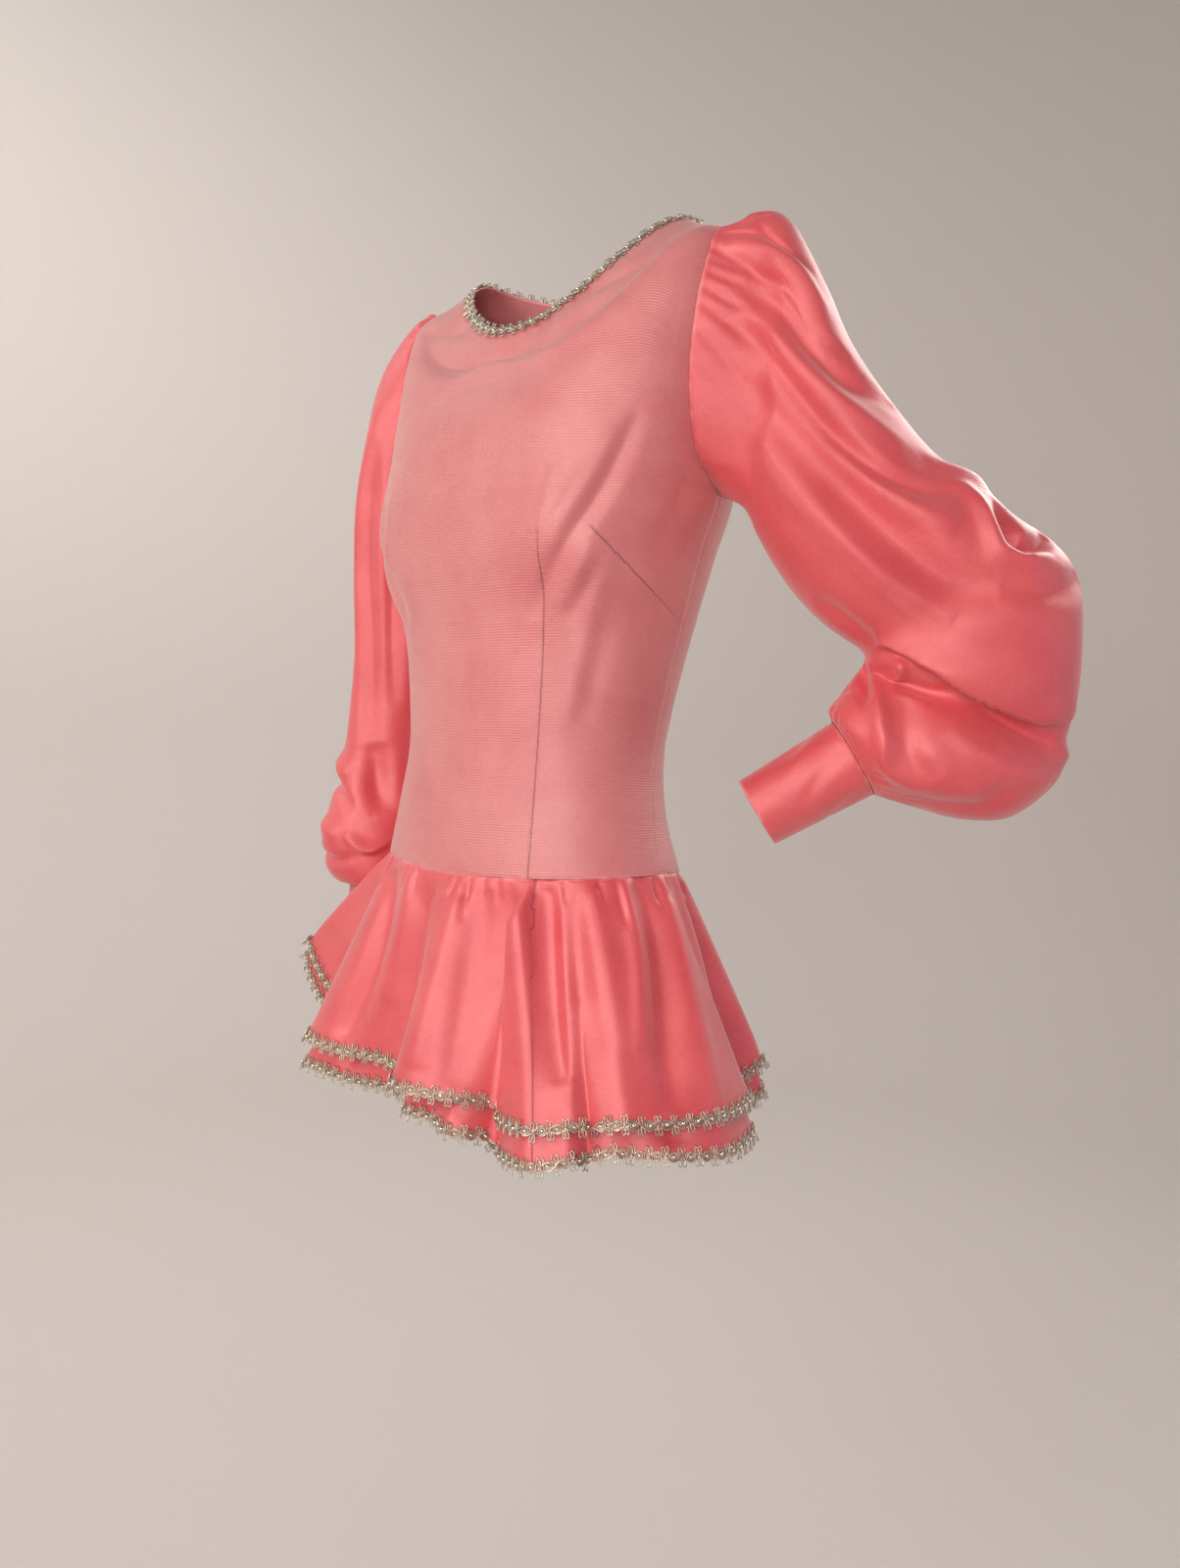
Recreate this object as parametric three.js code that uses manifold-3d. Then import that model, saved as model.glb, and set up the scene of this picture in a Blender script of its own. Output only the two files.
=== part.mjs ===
// A figure skating dress in satin-faced knit, worn and hollow: a fitted bodice with bust shaping,
// bishop sleeves on deep cuffs, and a two-tier flared skirt, with a braid along the neck and both hems.
// Millimetres. +X is the wearer's left, -Y the front, +Z up. The origin is midway between the two neck
// ends of the shoulder seams, where the wearer's shoulders hold the dress.
import * as THREE from "three";
import ManifoldModule from "manifold-3d";

// ---- Driving sizes ----
const CLOTH = 1.3; // wall of the knit
const SEAM_GAP = 0.3; // daylight between two sewn pieces
const BRAID_THICK = 1.6;
const BRAID_LIFT = 0.5; // daylight between the braid and the cloth under it
const BRAID_ON_CLOTH = 7; // width of the braid that lies on the cloth
const BRAID_PAST_EDGE = 3; // width that stands past the cloth's edge
const ZIP_HALF_OPENING = 1.8; // between the centre back and each back panel's edge, over the zip

// ---- Palette ----
const PINK = new THREE.MeshStandardMaterial({ color: 0xe0707c, roughness: 0.42, metalness: 0 });
const PINK_SKIRT = new THREE.MeshStandardMaterial({ color: 0xe26a74, roughness: 0.4, metalness: 0 });
const SILVER = new THREE.MeshStandardMaterial({ color: 0xb9b4a6, roughness: 0.35, metalness: 0.8 });
const ZIP_PINK = new THREE.MeshStandardMaterial({ color: 0xd5606e, roughness: 0.55, metalness: 0 });
const ZIP_METAL = new THREE.MeshStandardMaterial({ color: 0xd86a78, roughness: 0.35, metalness: 0.4 });

// ---- Small maths ----
const rad = (degrees) => (degrees * Math.PI) / 180;
const mix = (a, b, share) => a + (b - a) * share;
const clamp01 = (x) => Math.min(1, Math.max(0, x));
const bell = (x) => Math.exp(-x * x);
const signedPower = (x, power) => Math.sign(x) * Math.abs(x) ** power;

function smooth(x) {
  const c = clamp01(x);
  return c * c * (3 - 2 * c);
}

// The shortest turn between two angles, in degrees.
function turnBetween(a, b) {
  return ((((a - b + 180) % 360) + 360) % 360) - 180;
}

// A smooth curve through values at rising places. With a period it closes on itself.
function curveThrough(places, values, period = 0) {
  const n = places.length;
  const place = (i) => (period ? places[((i % n) + n) % n] + period * Math.floor(i / n) : places[i]);
  const value = (i) => values[((i % n) + n) % n];
  const slope = (i) => {
    const before = period ? i - 1 : Math.max(0, i - 1);
    const after = period ? i + 1 : Math.min(n - 1, i + 1);
    return (value(after) - value(before)) / (place(after) - place(before));
  };
  return (x) => {
    let at = period ? places[0] + ((((x - places[0]) % period) + period) % period) : x;
    at = period ? at : Math.min(places[n - 1], Math.max(places[0], at));
    let i = 0;
    const last = period ? n - 1 : n - 2;
    while (i < last && at > place(i + 1)) i += 1;
    const span = place(i + 1) - place(i);
    const u = (at - place(i)) / span;
    const rise = value(i + 1) - value(i);
    const startSlope = slope(i) * span;
    const endSlope = slope(i + 1) * span;
    return (
      value(i) + u * startSlope + u * u * (3 * rise - 2 * startSlope - endSlope) +
      u * u * u * (startSlope + endSlope - 2 * rise)
    );
  };
}

// Straight lines between values at rising places.
function linesThrough(places, values) {
  return (x) => {
    let i = 0;
    while (i < places.length - 2 && x > places[i + 1]) i += 1;
    return mix(values[i], values[i + 1], clamp01((x - places[i]) / (places[i + 1] - places[i])));
  };
}

// One curve for each named column of a table.
function columnsOf(rows, key, period = 0, through = curveThrough) {
  const places = rows.map((row) => row[key]);
  const names = Object.keys(rows[0]).filter((name) => name !== key);
  return Object.fromEntries(
    names.map((name) => [name, through(places, rows.map((row) => row[name]), period)]),
  );
}

// ---- Cloth walls ----
// points[row][column] is the outer face of a panel, with its rows rising and its columns turning to
// the wearer's left, so that (along column) x (along row) points out.
function outward(points, row, column, closed) {
  const rows = points.length;
  const columns = points[0].length;
  const left = closed ? (column + columns - 1) % columns : Math.max(0, column - 1);
  const right = closed ? (column + 1) % columns : Math.min(columns - 1, column + 1);
  const below = Math.max(0, row - 1);
  const above = Math.min(rows - 1, row + 1);
  const across = points[row][right].clone().sub(points[row][left]);
  const up = points[above][column].clone().sub(points[below][column]);
  return across.cross(up).normalize();
}

// A closed wall between two grids of points, the outer face first.
function wallBetween(outerFace, innerFace, closed) {
  const rows = outerFace.length;
  const columns = outerFace[0].length;
  const corners = [outerFace, innerFace].flatMap((face) => face.flat().flatMap((p) => [p.x, p.y, p.z]));
  const outerAt = (j, i) => j * columns + (i % columns);
  const innerAt = (j, i) => rows * columns + outerAt(j, i);
  const faces = [];
  const quad = (a, b, c, d) => faces.push(a, b, c, a, c, d);
  const steps = closed ? columns : columns - 1;
  for (let i = 0; i < steps; i += 1) {
    for (let j = 0; j < rows - 1; j += 1) {
      quad(outerAt(j, i), outerAt(j, i + 1), outerAt(j + 1, i + 1), outerAt(j + 1, i));
      quad(innerAt(j, i), innerAt(j + 1, i), innerAt(j + 1, i + 1), innerAt(j, i + 1));
    }
    quad(innerAt(0, i), innerAt(0, i + 1), outerAt(0, i + 1), outerAt(0, i));
    quad(outerAt(rows - 1, i), outerAt(rows - 1, i + 1), innerAt(rows - 1, i + 1), innerAt(rows - 1, i));
  }
  if (!closed) {
    for (let j = 0; j < rows - 1; j += 1) {
      quad(outerAt(j, 0), outerAt(j + 1, 0), innerAt(j + 1, 0), innerAt(j, 0));
      const end = columns - 1;
      quad(innerAt(j, end), innerAt(j + 1, end), outerAt(j + 1, end), outerAt(j, end));
    }
  }
  const geometry = new THREE.BufferGeometry();
  geometry.setAttribute("position", new THREE.Float32BufferAttribute(corners, 3));
  geometry.setIndex(faces);
  return geometry;
}

// A wall of cloth between the points moved out by `outer` and by `inner`.
function clothWall(points, outer, inner, closed) {
  const moved = (distance) =>
    points.map((row, j) =>
      row.map((point, i) => point.clone().addScaledVector(outward(points, j, i, closed), distance)),
    );
  return wallBetween(moved(outer), moved(inner), closed);
}

function gridOf(rowPlaces, columnPlaces, pointAt) {
  return rowPlaces.map((row) => columnPlaces.map((column) => pointAt(row, column)));
}

const evenly = (count, from, to) => Array.from({ length: count + 1 }, (_, i) => mix(from, to, i / count));
const roundTurn = (count) => Array.from({ length: count }, (_, i) => (360 * i) / count);

// ---- Bodice ----
// One row for each ring round the body, from the hip seam (up 0) to the neckline (up 1). Heights at
// the front, side and back, half the width, depth in front of and behind the ring's middle, how far
// back that middle is, and how square the ring is.
const BODY_RINGS = [
  { up: 0, front: -495, side: -490, back: -505, half: 137, fore: 96, aft: 96, middle: -17, square: 2.05 },
  { up: 0.1, front: -450, side: -448, back: -456, half: 123, fore: 89, aft: 89, middle: -19, square: 2.1 },
  { up: 0.2, front: -404, side: -404, back: -408, half: 114.5, fore: 86, aft: 86, middle: -15, square: 2.2 },
  { up: 0.3, front: -352, side: -352, back: -354, half: 119, fore: 90, aft: 90, middle: -9.5, square: 2.25 },
  { up: 0.4, front: -300, side: -300, back: -302, half: 129, fore: 93, aft: 96, middle: -6, square: 2.35 },
  { up: 0.5, front: -248, side: -249, back: -252, half: 141, fore: 99, aft: 103, middle: -5, square: 2.5 },
  { up: 0.58, front: -205, side: -207, back: -207, half: 152, fore: 101, aft: 107, middle: 0, square: 2.5 },
  { up: 0.72, front: -155, side: -125, back: -135, half: 160, fore: 98, aft: 100, middle: 5, square: 2.45 },
  { up: 0.86, front: -117, side: -33, back: -70, half: 164, fore: 84, aft: 80, middle: 12, square: 2.3 },
  { up: 0.93, front: -97, side: -17, back: -47, half: 139, fore: 77, aft: 63, middle: 20, square: 2.2 },
  { up: 1, front: -75, side: -3, back: -25, half: 113, fore: 71, aft: 47, middle: 28, square: 2.1 },
];
const BODY = columnsOf(BODY_RINGS, "up");
const BUST = { angle: 42, height: -250, out: 11, spread: 21, above: 62, below: 46 };

function bodyPoint(angle, up) {
  const side = Math.sin(rad(angle));
  const ahead = Math.cos(rad(angle));
  const power = 2 / BODY.square(up);
  const depth = ahead > 0 ? BODY.fore(up) : BODY.aft(up);
  const level = ahead > 0 ? BODY.front(up) : BODY.back(up);
  const point = new THREE.Vector3(
    BODY.half(up) * signedPower(side, power),
    -depth * signedPower(ahead, power),
    mix(BODY.side(up), level, ahead * ahead),
  );
  const tall = point.z > BUST.height ? BUST.above : BUST.below;
  const offAngle = (Math.abs(turnBetween(angle, 0)) - BUST.angle) / BUST.spread;
  const swell = BUST.out * bell(offAngle) * bell((point.z - BUST.height) / tall);
  const flat = new THREE.Vector3(point.x, point.y, 0).normalize();
  point.addScaledVector(flat, swell);
  point.y += BODY.middle(up);
  return point;
}

// A point moved straight out of the body's surface, or in with a negative distance.
function offBody(angle, up, distance) {
  const across = bodyPoint(angle + 0.5, up).sub(bodyPoint(angle - 0.5, up));
  const rise = bodyPoint(angle, Math.min(1, up + 0.01)).sub(bodyPoint(angle, Math.max(0, up - 0.01)));
  return bodyPoint(angle, up).addScaledVector(across.cross(rise).normalize(), distance);
}

// The angle of each panel's edge on the wearer's left: up the side seam to the underarm, round the
// armhole to the shoulder, then in along the shoulder seam. The front and back part at the armhole.
const UNDERARM_UP = 0.575;
const SHOULDER_UP = 0.89;
const PANEL_EDGES = [
  { up: 0, front: 92, back: 92 },
  { up: 0.1, front: 99, back: 99 },
  { up: 0.2, front: 103, back: 103 },
  { up: 0.39, front: 102, back: 102 },
  { up: 0.5, front: 101, back: 101 },
  { up: UNDERARM_UP, front: 101, back: 101 },
  { up: 0.59, front: 94, back: 108 },
  { up: 0.61, front: 89, back: 113 },
  { up: 0.64, front: 84.5, back: 117 },
  { up: 0.69, front: 80.5, back: 119 },
  { up: 0.74, front: 78, back: 118 },
  { up: 0.8, front: 77, back: 113 },
  { up: 0.85, front: 80, back: 105 },
  { up: 0.875, front: 84, back: 97 },
  { up: SHOULDER_UP, front: 88, back: 88 },
  { up: 1, front: 88, back: 88 },
];
const EDGE = columnsOf(PANEL_EDGES, "up", 0, linesThrough);

// Half of the seam's daylight as an angle, at the side of the body.
const halfSeam = (up) => ((SEAM_GAP / 2) / BODY.fore(up)) * (180 / Math.PI);
const frontEdge = (up) => EDGE.front(up) - halfSeam(up);
const backEdge = (up) => EDGE.back(up) + halfSeam(up);

// The angle at which the back is `across` millimetres from the centre back.
const backAngle = (across, up) =>
  180 - (Math.asin((across / BODY.half(up)) ** (BODY.square(up) / 2)) * 180) / Math.PI;

const BODICE_ROWS = [
  ...evenly(11, 0, 0.55),
  UNDERARM_UP, 0.59, 0.61, 0.64, 0.69, 0.74, 0.8, 0.85, 0.875, SHOULDER_UP, 0.93, 0.965, 1,
];
const FRONT_SHARES = evenly(18, 0, 1);
const BACK_SHARES = [0, 0.15, 0.3, 0.45, 0.6, 0.74, 0.86, 0.95, 1];

// A panel of the bodice between two edges, each an angle at every height. `shares` are its columns.
function bodicePanel(shares, startAt, endAt) {
  const face = (distance) =>
    gridOf(BODICE_ROWS, shares, (up, share) =>
      offBody(mix(startAt(up), endAt(up), share), up, distance),
    );
  return wallBetween(face(0), face(-CLOTH), false);
}

const backMiddle = (up) => backAngle(ZIP_HALF_OPENING, up);
const bodiceFront = () => bodicePanel(FRONT_SHARES, (up) => -frontEdge(up), frontEdge);
const bodiceBackLeft = () => bodicePanel(BACK_SHARES, backEdge, backMiddle);
const bodiceBackRight = () => {
  const mirrored = BACK_SHARES.map((share) => 1 - share).reverse();
  return bodicePanel(mirrored, (up) => -backMiddle(up), (up) => -backEdge(up));
};

// ---- Sleeves ----
// A sleeve's rings lie across the arm. Each row gives the ring's inner point (towards the body) and
// outer point, as distance out from the shoulder and height, and its depth in front of and behind
// the arm's own plane, which stands `ahead` of the shoulder. `out` and `face` turn those into the dress's frame.
const LEFT_ARM = { x: 172, y: 22, turn: 38, side: 1 };
const LEFT_RINGS = [
  { ring: 1, inOut: 4, inUp: -222, outOut: 5, outUp: -15, front: 34, back: 48, ahead: 0 },
  { ring: 2, inOut: 14, inUp: -241, outOut: 29, outUp: -22, front: 47, back: 56, ahead: 0 },
  { ring: 3, inOut: 26, inUp: -261, outOut: 55, outUp: -66, front: 55, back: 60, ahead: 0 },
  { ring: 4, inOut: 40, inUp: -280, outOut: 75, outUp: -108, front: 60, back: 62, ahead: 0 },
  { ring: 5, inOut: 54, inUp: -295, outOut: 102, outUp: -146, front: 62, back: 64, ahead: 0 },
  { ring: 6, inOut: 67, inUp: -306, outOut: 134, outUp: -183, front: 62, back: 64, ahead: 0 },
  { ring: 7, inOut: 79, inUp: -314, outOut: 163, outUp: -202, front: 62, back: 62, ahead: 0 },
  { ring: 8, inOut: 87, inUp: -319, outOut: 192, outUp: -227, front: 61, back: 60, ahead: 0 },
  { ring: 9, inOut: 92, inUp: -323, outOut: 217, outUp: -243, front: 60, back: 58, ahead: 0 },
  { ring: 10, inOut: 94, inUp: -326, outOut: 237, outUp: -270, front: 60, back: 57, ahead: 0 },
  { ring: 11, inOut: 94, inUp: -329, outOut: 242, outUp: -310, front: 58, back: 56, ahead: 0 },
  { ring: 12, inOut: 93, inUp: -332, outOut: 241, outUp: -352, front: 53, back: 54, ahead: 0 },
  { ring: 13, inOut: 91, inUp: -336, outOut: 234, outUp: -387, front: 36, back: 50, ahead: 0 },
  { ring: 14, inOut: 87, inUp: -341, outOut: 230, outUp: -412, front: 46, back: 50, ahead: 0 },
  { ring: 15, inOut: 82, inUp: -348, outOut: 200, outUp: -438, front: 54, back: 52, ahead: 0 },
  { ring: 16, inOut: 76, inUp: -356, outOut: 166, outUp: -441, front: 54, back: 52, ahead: 0 },
  { ring: 17, inOut: 70, inUp: -366, outOut: 134, outUp: -434, front: 46, back: 46, ahead: 0 },
  { ring: 18, inOut: 72.1, inUp: -373.7, outOut: 104.9, outUp: -426.3, front: 31, back: 31, ahead: 0 },
];
const RIGHT_ARM = { x: -164, y: 12, turn: 0, side: -1 };
const RIGHT_RINGS = [
  { ring: 1, inOut: 0, inUp: -224, outOut: 14, outUp: -17, front: 40, back: 40, ahead: 2 },
  { ring: 2, inOut: 2, inUp: -240, outOut: 46, outUp: -46, front: 50, back: 48, ahead: 4 },
  { ring: 3, inOut: 4, inUp: -262, outOut: 66, outUp: -92, front: 52, back: 50, ahead: 5 },
  { ring: 4, inOut: 6, inUp: -290, outOut: 76, outUp: -154, front: 52, back: 50, ahead: 5 },
  { ring: 5, inOut: 10, inUp: -322, outOut: 81, outUp: -224, front: 50, back: 50, ahead: 5 },
  { ring: 6, inOut: 14, inUp: -360, outOut: 84, outUp: -295, front: 47, back: 50, ahead: 6 },
  { ring: 7, inOut: 18, inUp: -400, outOut: 86, outUp: -356, front: 46, back: 50, ahead: 10 },
  { ring: 8, inOut: 18, inUp: -436, outOut: 90, outUp: -410, front: 46, back: 50, ahead: 14 },
  { ring: 9, inOut: 14, inUp: -470, outOut: 97, outUp: -455, front: 52, back: 52, ahead: 18 },
  { ring: 10, inOut: 12, inUp: -504, outOut: 103, outUp: -496, front: 58, back: 54, ahead: 21 },
  { ring: 11, inOut: 9, inUp: -529, outOut: 99, outUp: -526, front: 51, back: 49, ahead: 23 },
  { ring: 12, inOut: 11, inUp: -539, outOut: 89, outUp: -538, front: 39, back: 39, ahead: 24 },
  { ring: 13, inOut: 20, inUp: -523.5, outOut: 80, outUp: -526.5, front: 30, back: 30, ahead: 25 },
];

// The seam between bodice and sleeve, from the shoulder (0 degrees) over the front (90) to the underarm.
function armholePoint(degrees, side) {
  const up = mix(UNDERARM_UP, SHOULDER_UP, (1 + Math.cos(rad(degrees))) / 2);
  const angle = degrees <= 180 ? frontEdge(up) : backEdge(up);
  const point = bodyPoint(angle, up);
  point.x = side * (point.x + SEAM_GAP);
  return point;
}

function armFrame(arm) {
  const turn = rad(arm.turn);
  return {
    start: new THREE.Vector3(arm.x, arm.y, 0),
    out: new THREE.Vector3(arm.side * Math.cos(turn), Math.sin(turn), 0),
    face: new THREE.Vector3(arm.side * Math.sin(turn), -Math.cos(turn), 0),
  };
}

function ringPoint(frame, row, degrees) {
  const along = (1 + Math.cos(rad(degrees))) / 2;
  const across = Math.sin(rad(degrees));
  const depth = across > 0 ? row.front : row.back;
  return frame.start
    .clone()
    .addScaledVector(frame.out, mix(row.inOut, row.outOut, along))
    .addScaledVector(frame.face, row.ahead + depth * across)
    .add(new THREE.Vector3(0, 0, mix(row.inUp, row.outUp, along)));
}

// Smooth rings between the armhole and the cuff, one curve down the arm for each column.
function sleeveSurface(arm, rings) {
  const frame = armFrame(arm);
  const places = [0, ...rings.map((row) => row.ring)];
  const cache = new Map();
  return (degrees, ring) => {
    if (!cache.has(degrees)) {
      const points = [armholePoint(degrees, arm.side), ...rings.map((row) => ringPoint(frame, row, degrees))];
      cache.set(degrees, ["x", "y", "z"].map((axis) => curveThrough(places, points.map((p) => p[axis]))));
    }
    return new THREE.Vector3(...cache.get(degrees).map((curve) => curve(ring)));
  };
}

// Long soft folds down a sleeve: where each starts and ends, as ring and degrees, its half width in
// degrees, and its height (a trough is negative).
const LEFT_FOLDS = [
  { from: 1.2, to: 11.5, start: 50, end: 24, wide: 9, high: -8 },
  { from: 1, to: 12, start: 76, end: 60, wide: 11, high: -9 },
  { from: 2.5, to: 12.5, start: 112, end: 118, wide: 9, high: -6 },
  { from: 1.6, to: 10, start: 18, end: 2, wide: 8, high: -7 },
  { from: 2.5, to: 11, start: -30, end: -36, wide: 11, high: -8 },
  { from: 1.5, to: 12, start: -74, end: -64, wide: 12, high: -8 },
  { from: 13.5, to: 18, start: 70, end: 84, wide: 12, high: -9 },
  { from: 13.5, to: 18, start: 128, end: 124, wide: 11, high: -8 },
  { from: 13.5, to: 18, start: -60, end: -70, wide: 14, high: -7 },
];
const RIGHT_FOLDS = [
  { from: 1, to: 10, start: 40, end: 46, wide: 10, high: -7 },
  { from: 1, to: 9.5, start: 84, end: 96, wide: 11, high: -7 },
  { from: 2, to: 9.5, start: 132, end: 138, wide: 10, high: -6 },
  { from: 2, to: 10, start: -16, end: -10, wide: 10, high: -7 },
  { from: 2, to: 10, start: -66, end: -62, wide: 12, high: -7 },
  { from: 3, to: 10, start: -118, end: -122, wide: 12, high: -6 },
];

// How far the cloth stands out of its smooth surface: folds, then the gathers at head and cuff.
const HEAD_GATHERS = { spacing: 15, high: 2.6, fade: 1.3, half: 78 };
const CUFF_GATHERS = { spacing: 30, high: 3, fade: 1.6 };

function sleeveRelief(folds, lastRing) {
  return (degrees, ring) => {
    let out = 0;
    for (const fold of folds) {
      const share = (ring - fold.from) / (fold.to - fold.from);
      const window = share > 0 && share < 1 ? Math.sin(Math.PI * share) ** 0.6 : 0;
      const centre = mix(fold.start, fold.end, clamp01(share));
      out += fold.high * window * bell(turnBetween(degrees, centre) / fold.wide);
    }
    const top = smooth((HEAD_GATHERS.half - Math.abs(turnBetween(degrees, 0))) / 20);
    const start = smooth(ring / 0.35) * Math.exp(-ring / HEAD_GATHERS.fade);
    out += HEAD_GATHERS.high * top * start * Math.cos(rad((360 / HEAD_GATHERS.spacing) * degrees));
    const end = smooth((lastRing - ring) / 0.5) * Math.exp(-(lastRing - ring) / CUFF_GATHERS.fade);
    out += CUFF_GATHERS.high * end * Math.cos(rad((360 / CUFF_GATHERS.spacing) * degrees));
    return out;
  };
}

const SLEEVE_COLUMNS = 48;

function sleeve(arm, rings, folds) {
  const surface = sleeveSurface(arm, rings);
  const lastRing = rings.length;
  const relief = sleeveRelief(folds, lastRing);
  const ringPlaces = evenly(lastRing, 0, lastRing).reverse();
  // Seen from the cuff the columns of a left sleeve turn the other way from a right one's.
  const turns = roundTurn(SLEEVE_COLUMNS).map((degrees) => -arm.side * degrees);
  const turned = turns.map((degrees) => ((degrees % 360) + 360) % 360);
  const smoothPoints = gridOf(ringPlaces, turned, (ring, degrees) => surface(degrees, ring));
  const points = smoothPoints.map((row, j) =>
    row.map((point, i) => {
      const out = outward(smoothPoints, j, i, true);
      return point.clone().addScaledVector(out, relief(turned[i], ringPlaces[j]));
    }),
  );
  return clothWall(points, 0, -CLOTH, true);
}

// ---- Cuffs ----
// A fitted cuff runs from inside the gathered end of the sleeve to the wrist.
const LEFT_CUFF = {
  top: { out: 88.1, up: -400.3, ahead: 0 },
  end: { out: 21.5, up: -442, ahead: 0 },
  topRadius: 30,
  endRadius: 26.5,
};
const RIGHT_CUFF = {
  top: { out: 50, up: -525.6, ahead: 25 },
  end: { out: 54, up: -602, ahead: 25 },
  topRadius: 29,
  endRadius: 26.5,
};
const CUFF_COLUMNS = 30;

function cuff(arm, size) {
  const frame = armFrame(arm);
  const at = (end) =>
    frame.start
      .clone()
      .addScaledVector(frame.out, end.out)
      .addScaledVector(frame.face, end.ahead)
      .add(new THREE.Vector3(0, 0, end.up));
  const top = at(size.top);
  const end = at(size.end);
  const along = top.clone().sub(end).normalize();
  const acrossOne = frame.face;
  const acrossTwo = along.clone().cross(acrossOne).normalize();
  const points = gridOf([0, 1], roundTurn(CUFF_COLUMNS), (share, degrees) => {
    const radius = mix(size.endRadius, size.topRadius, share);
    return end.clone().lerp(top, share)
      .addScaledVector(acrossOne, radius * Math.cos(rad(degrees)))
      .addScaledVector(acrossTwo, radius * Math.sin(rad(degrees)));
  });
  return clothWall(points, 0, -CLOTH, true);
}

// ---- Skirt ----
// Both tiers hang from the hip seam. One row for each place round the hems: its direction from the
// middle of the seam, how far out the upper tier's edge stands, and how far inside that edge the
// lower tier hangs. Lobes stand out between valleys. The cloth keeps nearly one length down every
// line, so a place that stands further out hangs less low; `lift` is what it is short of that length.
const HEMS = [
  { angle: -170, reach: 158, inside: 6, lift: 0 },
  { angle: -155, reach: 196, inside: 7, lift: 0 },
  { angle: -138, reach: 160, inside: 6, lift: 0 },
  { angle: -121, reach: 204, inside: 7, lift: -2 },
  { angle: -104, reach: 176, inside: 6, lift: 0 },
  { angle: -93, reach: 178, inside: 6, lift: 0 },
  { angle: -84, reach: 194, inside: 8, lift: 4 },
  { angle: -78, reach: 244, inside: 10, lift: 12 },
  { angle: -73, reach: 250, inside: 12, lift: 12 },
  { angle: -62, reach: 170, inside: 7, lift: 4 },
  { angle: -48, reach: 158, inside: 6, lift: 0 },
  { angle: -36, reach: 180, inside: 6, lift: 0 },
  { angle: -28, reach: 173, inside: 14, lift: 4 },
  { angle: -19, reach: 150, inside: 11, lift: 10 },
  { angle: -9, reach: 127, inside: 8, lift: 14 },
  { angle: 3, reach: 126, inside: 10, lift: 8 },
  { angle: 8.5, reach: 154, inside: 24, lift: 0 },
  { angle: 14, reach: 158, inside: 22, lift: 0 },
  { angle: 20, reach: 155, inside: 6, lift: 0 },
  { angle: 32, reach: 145, inside: 6, lift: 0 },
  { angle: 37, reach: 179, inside: 6, lift: -2 },
  { angle: 42, reach: 185, inside: 6, lift: -3 },
  { angle: 48, reach: 193, inside: 10, lift: -3 },
  { angle: 53, reach: 187, inside: 12, lift: -4 },
  { angle: 58, reach: 206, inside: 22, lift: -7 },
  { angle: 64, reach: 211, inside: 20, lift: -9 },
  { angle: 71, reach: 218, inside: 14, lift: -11 },
  { angle: 84, reach: 220, inside: 6, lift: -12 },
  { angle: 97, reach: 213, inside: 6, lift: -10 },
  { angle: 109, reach: 201, inside: 6, lift: -8 },
  { angle: 122, reach: 168, inside: 6, lift: -4 },
  { angle: 137, reach: 194, inside: 8, lift: -2 },
  { angle: 153, reach: 156, inside: 6, lift: 0 },
  { angle: 172, reach: 190, inside: 7, lift: 0 },
];
const HEM = columnsOf(HEMS, "angle", 360);
const UPPER = { length: 168, down: SEAM_GAP, inner: 0 };
const LOWER = { length: 192, down: 2 * SEAM_GAP + CLOTH, inner: 1 };
const WAIST_GATHERS = { spacing: 12, high: 1.4, fade: 0.2 };

// A point of one tier: share 0 is the hip seam and 1 its hem.
function skirtPoint(tier, angle, share) {
  const seam = bodyPoint(angle, 0);
  const middle = new THREE.Vector3(0, BODY.middle(0), seam.z);
  const outwards = seam.clone().sub(middle).normalize();
  const spread = HEM.reach(angle) - seam.distanceTo(middle);
  const drop = Math.sqrt(UPPER.length ** 2 - spread ** 2) - HEM.lift(angle);
  const along = (share * tier.length) / UPPER.length;
  const inset = tier.inner * mix(CLOTH + 2 * SEAM_GAP, HEM.inside(angle), along);
  const gather = WAIST_GATHERS.high * smooth(along / 0.06) * Math.exp(-along / WAIST_GATHERS.fade);
  const wave = gather * (1 + Math.cos(rad((360 / WAIST_GATHERS.spacing) * angle)));
  const point = seam.addScaledVector(outwards, spread * along + wave - inset);
  point.z -= drop * along + tier.down;
  return point;
}

// The folds are sharper from the right side round the front to the left side than behind.
const HEM_TURNS = [...evenly(88, -96, 124), ...evenly(31, 128, 260)];

function skirtTier(tier, shares) {
  const points = gridOf([...shares].reverse(), HEM_TURNS, (share, angle) => skirtPoint(tier, angle, share));
  return clothWall(points, 0, -CLOTH, true);
}

// ---- Braid ----
// A flat band that lies on the cloth's outer points and stands a little past the edge.
function hemBraid(tier) {
  const onCloth = 1 - BRAID_ON_CLOTH / tier.length;
  const pastEdge = 1 + BRAID_PAST_EDGE / tier.length;
  const points = gridOf([pastEdge, onCloth], HEM_TURNS, (share, angle) => skirtPoint(tier, angle, share));
  return clothWall(points, BRAID_LIFT + BRAID_THICK, BRAID_LIFT, true);
}

// The neck's braid is open at the centre back, where the zip parts the two sides.
const NECK_COLUMNS = 64;
const NECK_SLANT = 340; // millimetres of cloth in one whole step of `up` near the neckline

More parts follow.
